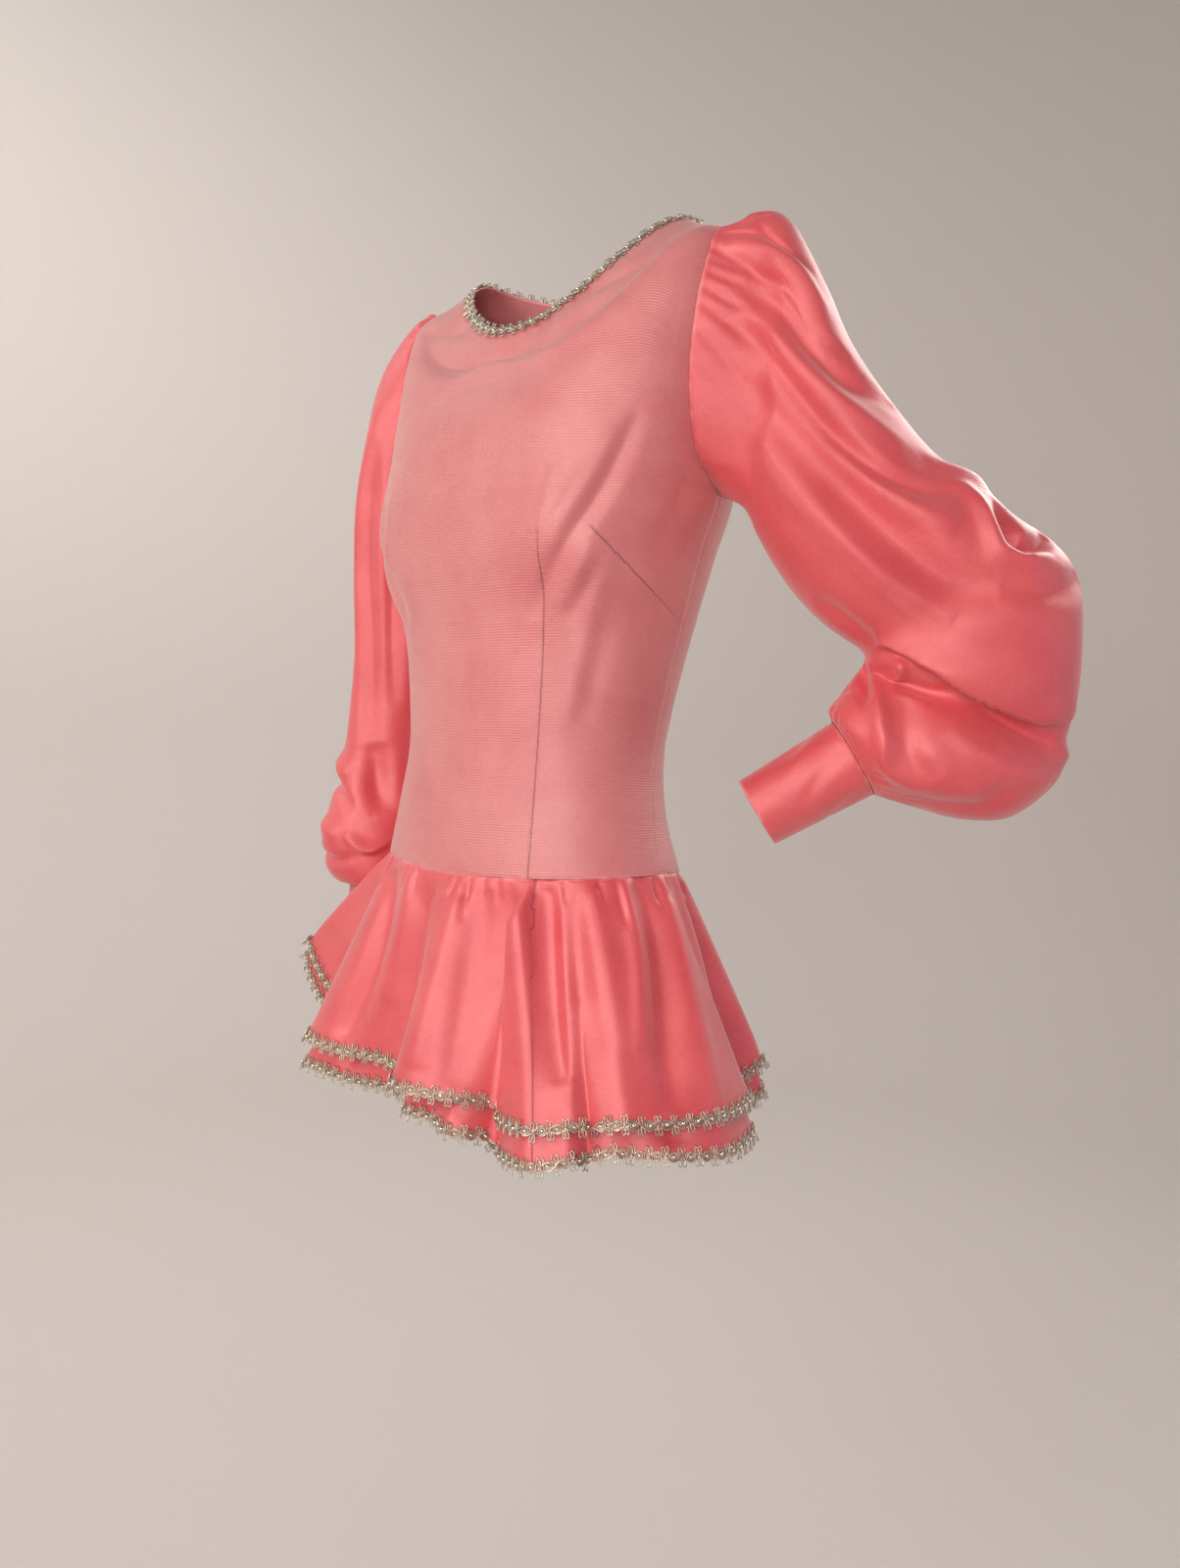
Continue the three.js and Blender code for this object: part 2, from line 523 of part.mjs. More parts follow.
function neckBraid() {
  const open = backAngle(ZIP_HALF_OPENING, 1);
  const face = (distance) => {
    const points = gridOf([1 - BRAID_ON_CLOTH / NECK_SLANT, 1], evenly(NECK_COLUMNS, -open, open), (up, angle) =>
      offBody(angle, up, distance),
    );
    points[1] = points[1].map((point, i) => {
      const rise = point.clone().sub(points[0][i]).normalize();
      return point.clone().addScaledVector(rise, BRAID_PAST_EDGE);
    });
    return points;
  };
  return wallBetween(face(BRAID_LIFT + BRAID_THICK), face(BRAID_LIFT), false);
}

// ---- Centre-back zip ----
// The closed zip's tape lies inside the two back panels and shows in the gap between them.
const ZIP = { bottomUp: 0.05, topUp: 0.97, half: 8, under: CLOTH + 2 * SEAM_GAP, thick: 1.2 };

function zipTape() {
  const ups = BODICE_ROWS.filter((up) => up >= ZIP.bottomUp && up <= ZIP.topUp);
  // Columns run from the wearer's left, across the centre back, to the right.
  const face = (distance) =>
    gridOf(ups, [1, 0, -1], (up, share) => {
      const angle = share ? share * backAngle(ZIP.half, up) : 180;
      return offBody(angle, up, distance);
    });
  return wallBetween(face(-ZIP.under), face(-ZIP.under - ZIP.thick), false);
}

// The slider sits just under the braid. Its own frame: across, up along the zip, and out.
const SLIDER = {
  up: 0.952, wide: 7, tall: 10, thick: 1.8, earWide: 1.3, earTall: 4, earOut: 6, pinOut: 4.3, pinUp: 2.2,
  pinRadius: 0.7,
};
const PULL = { wide: 3.2, bladeWide: 6, length: 24, thick: 1.2, eyeRadius: 1.9, holeRadius: 1 };
const SLIDER_EARS_APART = PULL.wide + 2 * SEAM_GAP;

function sliderFrame() {
  const here = bodyPoint(180, SLIDER.up);
  const rise = bodyPoint(180, SLIDER.up + 0.01).sub(bodyPoint(180, SLIDER.up - 0.01)).normalize();
  const across = new THREE.Vector3(-1, 0, 0);
  return new THREE.Matrix4().makeBasis(across, rise, across.clone().cross(rise)).setPosition(here);
}

const solids = await ManifoldModule();
solids.setup();
const { Manifold } = solids;

const block = (wide, tall, deep, x, y, z) =>
  Manifold.cube([wide, tall, deep], true).translate([x, y, z]);
const rodAcross = (radius, length, y, z) =>
  Manifold.cylinder(length, radius, radius, 20, true).rotate([0, 90, 0]).translate([0, y, z]);

function geometryOf(solid, matrix) {
  const mesh = solid.getMesh();
  const geometry = new THREE.BufferGeometry();
  geometry.setAttribute("position", new THREE.Float32BufferAttribute(mesh.vertProperties, mesh.numProp));
  geometry.setIndex(new THREE.Uint32BufferAttribute(mesh.triVerts, 1));
  return geometry.applyMatrix4(matrix);
}

function zipSlider() {
  const { wide, tall, thick, earWide, earTall, earOut, pinOut, pinUp, pinRadius } = SLIDER;
  const earAt = SLIDER_EARS_APART / 2 + earWide / 2;
  const earDeep = earOut - SEAM_GAP - thick / 2;
  const ear = (side) => block(earWide, earTall, earDeep, side * earAt, pinUp, earOut - earDeep / 2);
  return block(wide, tall, thick, 0, 0, SEAM_GAP + thick / 2)
    .add(ear(1))
    .add(ear(-1))
    .add(rodAcross(pinRadius, SLIDER_EARS_APART + earWide, pinUp, pinOut));
}

function zipPull() {
  const { wide, bladeWide, length, thick, eyeRadius, holeRadius } = PULL;
  const { pinOut, pinUp, tall } = SLIDER;
  const bladeTop = -tall / 2 + 1;
  const stemTall = pinUp - bladeTop + 1;
  const bladeTall = length - (pinUp - bladeTop);
  return rodAcross(eyeRadius, wide, pinUp, pinOut)
    .add(block(wide, stemTall, thick, 0, pinUp - stemTall / 2, pinOut))
    .add(block(bladeWide, bladeTall, thick, 0, bladeTop - bladeTall / 2, pinOut))
    .subtract(rodAcross(holeRadius, wide + 2, pinUp, pinOut));
}

// ---- Assembly ----
const dress = new THREE.Group();

function add(name, geometry, material) {
  geometry.computeVertexNormals();
  const mesh = new THREE.Mesh(geometry, material);
  mesh.name = name;
  dress.add(mesh);
}

add("bodice_front", bodiceFront(), PINK);
add("bodice_back_left", bodiceBackLeft(), PINK);
add("bodice_back_right", bodiceBackRight(), PINK);
add("sleeve_left", sleeve(LEFT_ARM, LEFT_RINGS, LEFT_FOLDS), PINK);
add("sleeve_right", sleeve(RIGHT_ARM, RIGHT_RINGS, RIGHT_FOLDS), PINK);
add("cuff_left", cuff(LEFT_ARM, LEFT_CUFF), PINK);
add("cuff_right", cuff(RIGHT_ARM, RIGHT_CUFF), PINK);
add("skirt_upper", skirtTier(UPPER, [0, 0.07, 0.2, 0.5, 1]), PINK_SKIRT);
add("skirt_lower", skirtTier(LOWER, [0, 0.15, 0.5, 1]), PINK_SKIRT);
add("braid_neck", neckBraid(), SILVER);
add("braid_upper_hem", hemBraid(UPPER), SILVER);
add("braid_lower_hem", hemBraid(LOWER), SILVER);
add("zip_tape", zipTape(), ZIP_PINK);
add("zip_slider", geometryOf(zipSlider(), sliderFrame()), ZIP_METAL);
add("zip_pull", geometryOf(zipPull(), sliderFrame()), ZIP_METAL);

export default dress;
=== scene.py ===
"""A figure skating dress in satin-faced warp knit, worn and hollow, with looped silver braid.

Metres. +X is the wearer's left, -Y the front and +Z up; the origin is midway between the two neck
ends of the shoulder seams. Sizes in the tables are millimetres, as in the part's own source.
"""
import math

import bmesh
import bpy
import numpy as np
from mathutils import Matrix, Vector


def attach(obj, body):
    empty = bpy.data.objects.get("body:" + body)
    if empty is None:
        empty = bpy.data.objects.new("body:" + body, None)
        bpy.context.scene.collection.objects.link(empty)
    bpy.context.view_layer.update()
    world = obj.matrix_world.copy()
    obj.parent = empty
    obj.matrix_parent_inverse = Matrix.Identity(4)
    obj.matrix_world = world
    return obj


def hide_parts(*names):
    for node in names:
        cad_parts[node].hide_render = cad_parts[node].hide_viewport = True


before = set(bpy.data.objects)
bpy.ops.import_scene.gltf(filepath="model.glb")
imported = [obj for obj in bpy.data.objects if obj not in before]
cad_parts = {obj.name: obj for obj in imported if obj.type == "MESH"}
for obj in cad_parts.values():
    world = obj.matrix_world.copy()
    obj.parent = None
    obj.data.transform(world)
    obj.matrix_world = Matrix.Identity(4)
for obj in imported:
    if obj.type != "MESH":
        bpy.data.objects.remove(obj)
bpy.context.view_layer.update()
MM = 0.001
DRESS = "dress"
PULL = "pull"

# ---- Camera, floor and light ----
CAMERA_AT = (0.7094, -0.6615, -0.366)
CAMERA_HEADING = 44.9  # degrees, from +Y towards -X
CAMERA_PITCH = -3.9
CAMERA_ROLL = 1.6
CAMERA_LENS = 27.05
FLOOR_Z = -1.42


def set_camera():
    data = bpy.data.cameras.new("camera")
    data.lens = CAMERA_LENS
    data.sensor_width = 36
    data.clip_end = 50
    camera = bpy.data.objects.new("camera", data)
    bpy.context.scene.collection.objects.link(camera)
    heading, pitch = math.radians(CAMERA_HEADING), math.radians(CAMERA_PITCH)
    ahead = Vector((-math.sin(heading) * math.cos(pitch), math.cos(heading) * math.cos(pitch), math.sin(pitch)))
    right = ahead.cross(Vector((0, 0, 1))).normalized()
    up = right.cross(ahead)
    roll = math.radians(CAMERA_ROLL)
    right, up = right * math.cos(roll) + up * math.sin(roll), up * math.cos(roll) - right * math.sin(roll)
    turn = Matrix((right, up, -ahead)).transposed().to_4x4()
    camera.matrix_world = Matrix.Translation(CAMERA_AT) @ turn
    bpy.context.scene.camera = camera


# ---- Node helpers ----
def add_node(tree, kind, settings=None, **inputs):
    """A node with its inputs set by name (or by number, as i0, i1); a socket is linked."""
    node = tree.nodes.new(kind)
    for key, value in (settings or {}).items():
        setattr(node, key, value)
    for key, value in inputs.items():
        numbered = key[0] == "i" and key[1:].isdigit()
        socket = node.inputs[int(key[1:])] if numbered else node.inputs[key.replace("_", " ")]
        if isinstance(value, bpy.types.NodeSocket):
            tree.links.new(value, socket)
        else:
            socket.default_value = value
    return node


def sums(tree, operation, *values):
    inputs = {f"i{k}": value for k, value in enumerate(values)}
    return add_node(tree, "ShaderNodeMath", {"operation": operation}, **inputs).outputs[0]


def ramp(tree, value, low, high, to_low=0.0, to_high=1.0):
    """The value taken smoothly from low..high to to_low..to_high."""
    settings = {"interpolation_type": "SMOOTHSTEP"}
    return add_node(
        tree, "ShaderNodeMapRange", settings, i0=value, i1=low, i2=high, i3=to_low, i4=to_high
    ).outputs[0]


def new_group(name, kind, inputs, outputs):
    tree = bpy.data.node_groups.new(name, kind)
    for title, socket, value in inputs:
        made = tree.interface.new_socket(title, in_out="INPUT", socket_type=socket)
        if value is not None:
            made.default_value = value
    for title, socket in outputs:
        tree.interface.new_socket(title, in_out="OUTPUT", socket_type=socket)
    return tree, tree.nodes.new("NodeGroupInput").outputs, tree.nodes.new("NodeGroupOutput").inputs


FLOAT, VECTOR, COLOUR, SHAPE = "NodeSocketFloat", "NodeSocketVector", "NodeSocketColor", "NodeSocketGeometry"


# ---- Shader groups shared by the cloths ----
def rib_group():
    """Fine knitted ribs across the cloth with the wales between them, from the cloth's own UV in metres. Shade is low
    in the ribs' troughs, where the knit paints shade.
    """
    tree, given, out = new_group(
        "knit_ribs",
        "ShaderNodeTree",
        [
            ("Cloth UV", VECTOR, None), ("Course Pitch", FLOAT, 0.0016), ("Wale Pitch", FLOAT, 0.0011),
            ("Waver", FLOAT, 0.0004),
        ],
        [("Height", FLOAT), ("Shade", FLOAT)],
    )
    waver = add_node(tree, "ShaderNodeTexNoise", Vector=given["Cloth UV"], Scale=60.0, Detail=2.0)
    parts = add_node(tree, "ShaderNodeSeparateXYZ", Vector=given["Cloth UV"])
    moved = sums(tree, "MULTIPLY_ADD", waver.outputs["Fac"], given["Waver"], parts.outputs["Y"])
    turns = sums(tree, "DIVIDE", moved, given["Course Pitch"])
    course = sums(tree, "SINE", sums(tree, "MULTIPLY", turns, math.tau))
    turns = sums(tree, "DIVIDE", parts.outputs["X"], given["Wale Pitch"])
    wale = sums(tree, "SINE", sums(tree, "MULTIPLY", turns, math.tau))
    fuzz = add_node(tree, "ShaderNodeTexNoise", Vector=given["Cloth UV"], Scale=1400.0, Detail=2.0)
    height = sums(tree, "MULTIPLY_ADD", wale, 0.35, course)
    height = sums(tree, "MULTIPLY_ADD", fuzz.outputs["Fac"], 0.8, height)
    tree.links.new(height, out["Height"])
    tree.links.new(ramp(tree, height, -1.4, 2.0), out["Shade"])
    return tree


def tone_group():
    """Slow unevenness of dye and lustre over the cloth."""
    tree, given, out = new_group(
        "dye_and_lustre",
        "ShaderNodeTree",
        [
            ("Position", VECTOR, None), ("Colour", COLOUR, None), ("Deeper", COLOUR, None),
            ("Patch Size", FLOAT, 0.05), ("Lustre", FLOAT, 0.4), ("Grain", FLOAT, 0.35),
        ],
        [("Colour", COLOUR), ("Roughness", FLOAT)],
    )
    scale = sums(tree, "DIVIDE", 1.0, given["Patch Size"])
    broad = add_node(tree, "ShaderNodeTexNoise", Vector=given["Position"], Scale=scale, Detail=2.0)
    finer = sums(tree, "MULTIPLY", scale, 9.0)
    small = add_node(tree, "ShaderNodeTexNoise", Vector=given["Position"], Scale=finer, Detail=3.0)
    patches = ramp(tree, broad.outputs["Fac"], 0.3, 0.75, 0.0, 0.55)
    amount = sums(tree, "MULTIPLY_ADD", small.outputs["Fac"], 0.35, patches)
    grain = add_node(tree, "ShaderNodeTexNoise", Vector=given["Position"], Scale=1100.0, Detail=1.0)
    amount = sums(tree, "MULTIPLY_ADD", ramp(tree, grain.outputs["Fac"], 0.35, 0.65, -0.5, 0.5), given["Grain"], amount)
    mixed = add_node(
        tree, "ShaderNodeMix", {"data_type": "RGBA"}, Factor=amount, i6=given["Colour"], i7=given["Deeper"]
    )
    rough = sums(tree, "MULTIPLY_ADD", broad.outputs["Fac"], 0.08, given["Lustre"])
    rough = sums(tree, "MULTIPLY_ADD", small.outputs["Fac"], 0.05, rough)
    tree.links.new(mixed.outputs[2], out["Colour"])
    tree.links.new(rough, out["Roughness"])
    return tree


def seam_group():
    """A sewn line. Across is the signed distance from it, and Past how far beyond its end, in millimetres."""
    tree, given, out = new_group(
        "sewn_line",
        "ShaderNodeTree",
        [("Line", VECTOR, None), ("Groove", FLOAT, 0.8), ("Pucker", FLOAT, 6.0)],
        [("Height", FLOAT), ("Mask", FLOAT)],
    )
    parts = add_node(tree, "ShaderNodeSeparateXYZ", Vector=given["Line"])
    away = sums(tree, "ABSOLUTE", parts.outputs["X"])
    near = ramp(tree, sums(tree, "DIVIDE", away, given["Groove"]), 0.2, 1.0, 1.0, 0.0)
    inside = ramp(tree, parts.outputs["Y"], -1.0, 1.5, 1.0, 0.0)
    mask = sums(tree, "MULTIPLY", near, inside)
    beat = sums(tree, "SINE", sums(tree, "MULTIPLY", parts.outputs["Z"], math.tau / 5.0))
    soft = ramp(tree, sums(tree, "DIVIDE", away, given["Pucker"]), 0.0, 1.0, 1.0, 0.0)
    pucker = sums(tree, "MULTIPLY", sums(tree, "MULTIPLY", beat, soft), inside)
    lip = sums(tree, "SUBTRACT", sums(tree, "DIVIDE", parts.outputs["X"], given["Groove"]), 1.6)
    lip = sums(tree, "MULTIPLY", ramp(tree, sums(tree, "ABSOLUTE", lip), 0.0, 1.4, 0.7, 0.0), inside)
    height = sums(tree, "MULTIPLY_ADD", pucker, 0.12, sums(tree, "SUBTRACT", lip, mask))
    tree.links.new(height, out["Height"])
    tree.links.new(mask, out["Mask"])
    return tree


def rub_group():
    """Wear where cloth is folded at an edge: the dye is paler and the lustre duller there."""
    tree, given, out = new_group(
        "rubbed_edge",
        "ShaderNodeTree",
        [
            ("Edge", FLOAT, 50.0), ("Reach", FLOAT, 2.5), ("Position", VECTOR, None),
            ("Colour", COLOUR, None), ("Rubbed", COLOUR, None), ("Roughness", FLOAT, 0.4),
        ],
        [("Colour", COLOUR), ("Roughness", FLOAT)],
    )
    patch = add_node(tree, "ShaderNodeTexNoise", Vector=given["Position"], Scale=110.0, Detail=3.0)
    near = ramp(tree, sums(tree, "DIVIDE", given["Edge"], given["Reach"]), 0.1, 1.0, 1.0, 0.0)
    amount = sums(tree, "MULTIPLY", near, ramp(tree, patch.outputs["Fac"], 0.35, 0.7, 0.15, 0.6))
    mixed = add_node(
        tree, "ShaderNodeMix", {"data_type": "RGBA"}, Factor=amount, i6=given["Colour"], i7=given["Rubbed"]
    )
    tree.links.new(mixed.outputs[2], out["Colour"])
    tree.links.new(sums(tree, "MULTIPLY_ADD", amount, 0.2, given["Roughness"]), out["Roughness"])
    return tree


KNIT_RIBS, DYE, SEWN_LINE, RUBBED_EDGE = rib_group(), tone_group(), seam_group(), rub_group()


def rgb(red, green, blue):
    """Linear colour from 0..255 display values."""
    def linear(value):
        value /= 255
        return value / 12.92 if value <= 0.04045 else ((value + 0.055) / 1.055) ** 2.4
    return (linear(red), linear(green), linear(blue), 1.0)


def new_material(name, **constants):
    material = bpy.data.materials.new(name)
    material.use_nodes = True
    tree = material.node_tree
    shader = tree.nodes["Principled BSDF"]
    for key, value in constants.items():
        shader.inputs[key.replace("_", " ")].default_value = value
    return material, tree, shader


SATIN = 0.12  # how far the bright filament face mirrors in its own colour


def knit(name, colour, deeper, rubbed, lustre, ribs, lines=(), bump=0.00009, coat=0.9):
    """The satin-faced knit. `lines` are the sewn lines that this piece's mesh carries as attributes."""
    material, tree, shader = new_material(
        name, Metallic=SATIN, Sheen_Weight=0.3, Sheen_Roughness=0.5, Coat_Roughness=0.48, Coat_Weight=coat,
        Specular_IOR_Level=0.9, Sheen_Tint=(1.0, 0.86, 0.86, 1.0),
    )
    place = add_node(tree, "ShaderNodeTexCoord").outputs["Object"]
    cloth = add_node(tree, "ShaderNodeUVMap", {"uv_map": "cloth"}).outputs[0]
    dye = add_node(
        tree, "ShaderNodeGroup", {"node_tree": DYE}, Position=place, Colour=colour, Deeper=deeper, Lustre=lustre,
    )
    edge = add_node(tree, "ShaderNodeAttribute", {"attribute_name": "edge"}).outputs["Fac"]
    rub = add_node(
        tree, "ShaderNodeGroup", {"node_tree": RUBBED_EDGE}, Edge=edge, Position=place,
        Colour=dye.outputs["Colour"], Rubbed=rubbed, Roughness=dye.outputs["Roughness"],
    )
    rib = add_node(
        tree, "ShaderNodeGroup", {"node_tree": KNIT_RIBS}, Cloth_UV=cloth, Course_Pitch=ribs[0], Wale_Pitch=ribs[1],
    )
    # Painted shade: the colour goes a little deeper in the troughs of the knitted ribs.
    shaded = add_node(
        tree, "ShaderNodeMix", {"data_type": "RGBA"}, Factor=ramp(tree, rib.outputs["Shade"], 0.0, 0.6, 0.07, 0.0),
        i6=rub.outputs["Colour"], i7=deeper,
    )
    surface = shaded.outputs[2]
    height = sums(tree, "MULTIPLY", rib.outputs["Height"], bump)
    for line in lines:
        attribute = add_node(tree, "ShaderNodeAttribute", {"attribute_name": line}).outputs["Vector"]
        sewn = add_node(tree, "ShaderNodeGroup", {"node_tree": SEWN_LINE}, Line=attribute)
        height = sums(tree, "MULTIPLY_ADD", sewn.outputs["Height"], 0.0007, height)
        # Painted shade: the colour is darkened along each sewn line's groove.
        seam_groove_shade = tuple(c * 0.7 for c in deeper[:3]) + (1.0,)
        surface = add_node(
            tree, "ShaderNodeMix", {"data_type": "RGBA"}, Factor=sums(tree, "MULTIPLY", sewn.outputs["Mask"], 0.26),
            i6=surface, i7=seam_groove_shade,
        ).outputs[2]
    normal = add_node(tree, "ShaderNodeBump", Distance=1.0, Strength=1.0, Height=height)
    tree.links.new(surface, shader.inputs["Base Color"])
    tree.links.new(rub.outputs["Roughness"], shader.inputs["Roughness"])
    tree.links.new(normal.outputs[0], shader.inputs["Normal"])
    return material


def metal(name, colour, deeper, rough, patch, metallic=1.0, bump=0.00004):
    material, tree, shader = new_material(name, Metallic=metallic)
    place = add_node(tree, "ShaderNodeTexCoord").outputs["Object"]
    dye = add_node(
        tree, "ShaderNodeGroup", {"node_tree": DYE}, Position=place, Colour=colour, Deeper=deeper, Lustre=rough,
        Patch_Size=patch,
    )
    grain = add_node(tree, "ShaderNodeTexNoise", Vector=place, Scale=2600.0, Detail=2.0)
    normal = add_node(tree, "ShaderNodeBump", Distance=1.0, Height=sums(tree, "MULTIPLY", grain.outputs["Fac"], bump))
    tree.links.new(dye.outputs["Colour"], shader.inputs["Base Color"])
    tree.links.new(dye.outputs["Roughness"], shader.inputs["Roughness"])
    tree.links.new(normal.outputs[0], shader.inputs["Normal"])
    return material


CORAL, CORAL_DEEP, CORAL_PALE = rgb(232, 88, 92), rgb(212, 54, 66), rgb(242, 156, 154)
BODICE_CORAL, BODICE_DEEP = rgb(222, 130, 128), rgb(206, 100, 103)
COURSE, WALE = 0.002, 0.0012
BODICE_KNIT = knit(
    "satin_knit_bodice", BODICE_CORAL, BODICE_DEEP, CORAL_PALE, 0.5, (COURSE, WALE), lines=("bust_dart", "waist_dart"),
)
BODICE_BACK_KNIT = knit("satin_knit_back", BODICE_CORAL, BODICE_DEEP, CORAL_PALE, 0.5, (COURSE, WALE))
SLEEVE_KNIT = knit(
    "satin_knit_sleeve", CORAL, CORAL_DEEP, CORAL_PALE, 0.42, (COURSE * 0.8, WALE),
    lines=("side_seam",), bump=0.00005, coat=0.7,
)
SKIRT_KNIT = knit(
    "satin_knit_skirt", CORAL, CORAL_DEEP, CORAL_PALE, 0.42, (COURSE * 0.75, WALE),
    lines=("side_seam",), bump=0.00003, coat=0.7,
)
SILVER_THREAD = metal("silver_thread", rgb(228, 220, 202), rgb(186, 174, 152), 0.34, 0.004)
SILVER_BEAD = metal("silver_bead", rgb(240, 238, 230), rgb(214, 208, 196), 0.1, 0.003)
SEWING_THREAD = metal("sewing_thread", rgb(224, 92, 104), rgb(200, 66, 82), 0.5, 0.01, metallic=0.0)
ZIP_TAPE = metal("zip_tape_weave", rgb(214, 88, 102), rgb(190, 66, 82), 0.6, 0.006, metallic=0.0, bump=0.0002)
ZIP_ENAMEL = metal("zip_enamel", rgb(216, 92, 106), rgb(196, 74, 88), 0.3, 0.004, metallic=0.3)


# ---- Curves through tables ----
def curve(places, values, at, period=0.0):
    """A smooth curve through values at rising places; with a period it closes on itself."""
    x, v, at = np.asarray(places, float), np.asarray(values, float), np.asarray(at, float)
    if period:
        at = x[0] + (at - x[0]) % period
        x = np.concatenate([x - period, x, x + period])
        v = np.concatenate([v, v, v])
    count = len(x)
    before, after = np.maximum(np.arange(count) - 1, 0), np.minimum(np.arange(count) + 1, count - 1)

    def wide(numbers):
        return numbers.reshape(numbers.shape + (1,) * (v.ndim - 1))

    slope = (v[after] - v[before]) / wide(x[after] - x[before])
    at = np.clip(at, x[0], x[-1])
    i = np.clip(np.searchsorted(x, at, side="left") - 1, 0, count - 2)
    span = wide(x[i + 1] - x[i])
    u = wide(at - x[i]) / span
    start, end, rise = slope[i] * span, slope[i + 1] * span, v[i + 1] - v[i]
    return v[i] + u * start + u * u * (3 * rise - 2 * start - end) + u**3 * (start + end - 2 * rise)


def smooth(x):
    c = np.clip(x, 0, 1)
    return c * c * (3 - 2 * c)


def bell(x):
    return np.exp(-x * x)


def unit(vectors):
    return vectors / np.maximum(np.linalg.norm(vectors, axis=-1, keepdims=True), 1e-9)


def turn_between(a, b):
    return (a - b + 180) % 360 - 180


# ---- Shape of the body, as in the part's own source ----
# up, front, side and back heights, half width, depth before and behind the middle, middle, square
BODY_RINGS = np.array([
    (0, -495, -490, -505, 137, 96, 96, -17, 2.05),
    (0.1, -450, -448, -456, 123, 89, 89, -19, 2.1),
    (0.2, -404, -404, -408, 114.5, 86, 86, -15, 2.2),
    (0.3, -352, -352, -354, 119, 90, 90, -9.5, 2.25),
    (0.4, -300, -300, -302, 129, 93, 96, -6, 2.35),
    (0.5, -248, -249, -252, 141, 99, 103, -5, 2.5),
    (0.58, -205, -207, -207, 152, 101, 107, 0, 2.5),
    (0.72, -155, -125, -135, 160, 98, 100, 5, 2.45),
    (0.86, -117, -33, -70, 164, 84, 80, 12, 2.3),
    (0.93, -97, -17, -47, 139, 77, 63, 20, 2.2),
    (1, -75, -3, -25, 113, 71, 47, 28, 2.1),
])
BUST_ANGLE, BUST_HEIGHT, BUST_OUT, BUST_SPREAD, BUST_ABOVE, BUST_BELOW = 42, -250, 11, 21, 62, 46


def ring_sizes(up):
    return np.moveaxis(curve(BODY_RINGS[:, 0], BODY_RINGS[:, 1:], up), -1, 0)


def body(angle, up):
    """Outer points of the bodice, at angles from the centre front towards the wearer's left."""
    angle, up = np.broadcast_arrays(np.asarray(angle, float), np.asarray(up, float))
    front, side, back, half, fore, aft, middle, square = ring_sizes(up)
    s, c = np.sin(np.radians(angle)), np.cos(np.radians(angle))
    depth, level, power = np.where(c > 0, fore, aft), np.where(c > 0, front, back), 2 / square
    x = half * np.sign(s) * abs(s) ** power
    y = -depth * np.sign(c) * abs(c) ** power
    z = side + (level - side) * c * c
    tall = np.where(z > BUST_HEIGHT, BUST_ABOVE, BUST_BELOW)
    off = (abs(turn_between(angle, 0)) - BUST_ANGLE) / BUST_SPREAD
    swell = BUST_OUT * bell(off) * bell((z - BUST_HEIGHT) / tall)
    flat = np.maximum(np.hypot(x, y), 1e-9)
    return np.stack([x + swell * x / flat, y + swell * y / flat + middle, z], -1)


def body_normal(angle, up):
    across = body(angle + 0.5, up) - body(angle - 0.5, up)
    rise = body(angle, np.minimum(1, up + 0.01)) - body(angle, np.maximum(0, up - 0.01))
    return unit(np.cross(across, rise))


UNDERARM_UP, SHOULDER_UP, SEAM_GAP, CLOTH = 0.575, 0.89, 0.3, 1.3
PANEL_EDGES = np.array([
    (0, 92, 92), (0.1, 99, 99), (0.2, 103, 103), (0.39, 102, 102), (0.5, 101, 101), (0.575, 101, 101),
    (0.59, 94, 108), (0.61, 89, 113), (0.64, 84.5, 117), (0.69, 80.5, 119), (0.74, 78, 118), (0.8, 77, 113),
    (0.85, 80, 105), (0.875, 84, 97), (0.89, 88, 88), (1, 88, 88),
])


def half_seam(up):
    return np.degrees(SEAM_GAP / 2 / ring_sizes(up)[4])


def edge_curve(up, column):
    """A panel's edge angle: straight between the table's rows up the side, then smooth round the armhole."""
    table = PANEL_EDGES[(PANEL_EDGES[:, 0] >= UNDERARM_UP) & (PANEL_EDGES[:, 0] <= SHOULDER_UP)]
    straight = np.interp(up, PANEL_EDGES[:, 0], PANEL_EDGES[:, column])
    round_part = curve(table[:, 0], table[:, column], up)
    return np.where((up > UNDERARM_UP) & (up < SHOULDER_UP), round_part, straight)


def front_edge(up):
    return edge_curve(up, 1) - half_seam(up)


def back_edge(up):
    return edge_curve(up, 2) + half_seam(up)


def back_angle(across, up):
    sizes = ring_sizes(up)
    return 180 - np.degrees(np.arcsin((across / sizes[3]) ** (sizes[7] / 2)))


# ---- Sleeve rings, as in the part's own source ----
# x, y, turn and side of each arm's frame, then rows of
# inner out, inner up, outer out, outer up, front depth, back depth, ahead
LEFT_ARM, RIGHT_ARM = (172, 22, 38, 1), (-164, 12, 0, -1)
LEFT_RINGS = np.array([
    (4, -222, 5, -15, 34, 48, 0), (14, -241, 29, -22, 47, 56, 0), (26, -261, 55, -66, 55, 60, 0),
    (40, -280, 75, -108, 60, 62, 0), (54, -295, 102, -146, 62, 64, 0), (67, -306, 134, -183, 62, 64, 0),
    (79, -314, 163, -202, 62, 62, 0), (87, -319, 192, -227, 61, 60, 0), (92, -323, 217, -243, 60, 58, 0),
    (94, -326, 237, -270, 60, 57, 0), (94, -329, 242, -310, 58, 56, 0), (93, -332, 241, -352, 53, 54, 0),
    (91, -336, 234, -387, 36, 50, 0), (87, -341, 230, -412, 46, 50, 0), (82, -348, 200, -438, 54, 52, 0),
    (76, -356, 166, -441, 54, 52, 0), (70, -366, 134, -434, 46, 46, 0), (72.1, -373.7, 104.9, -426.3, 31, 31, 0),
])
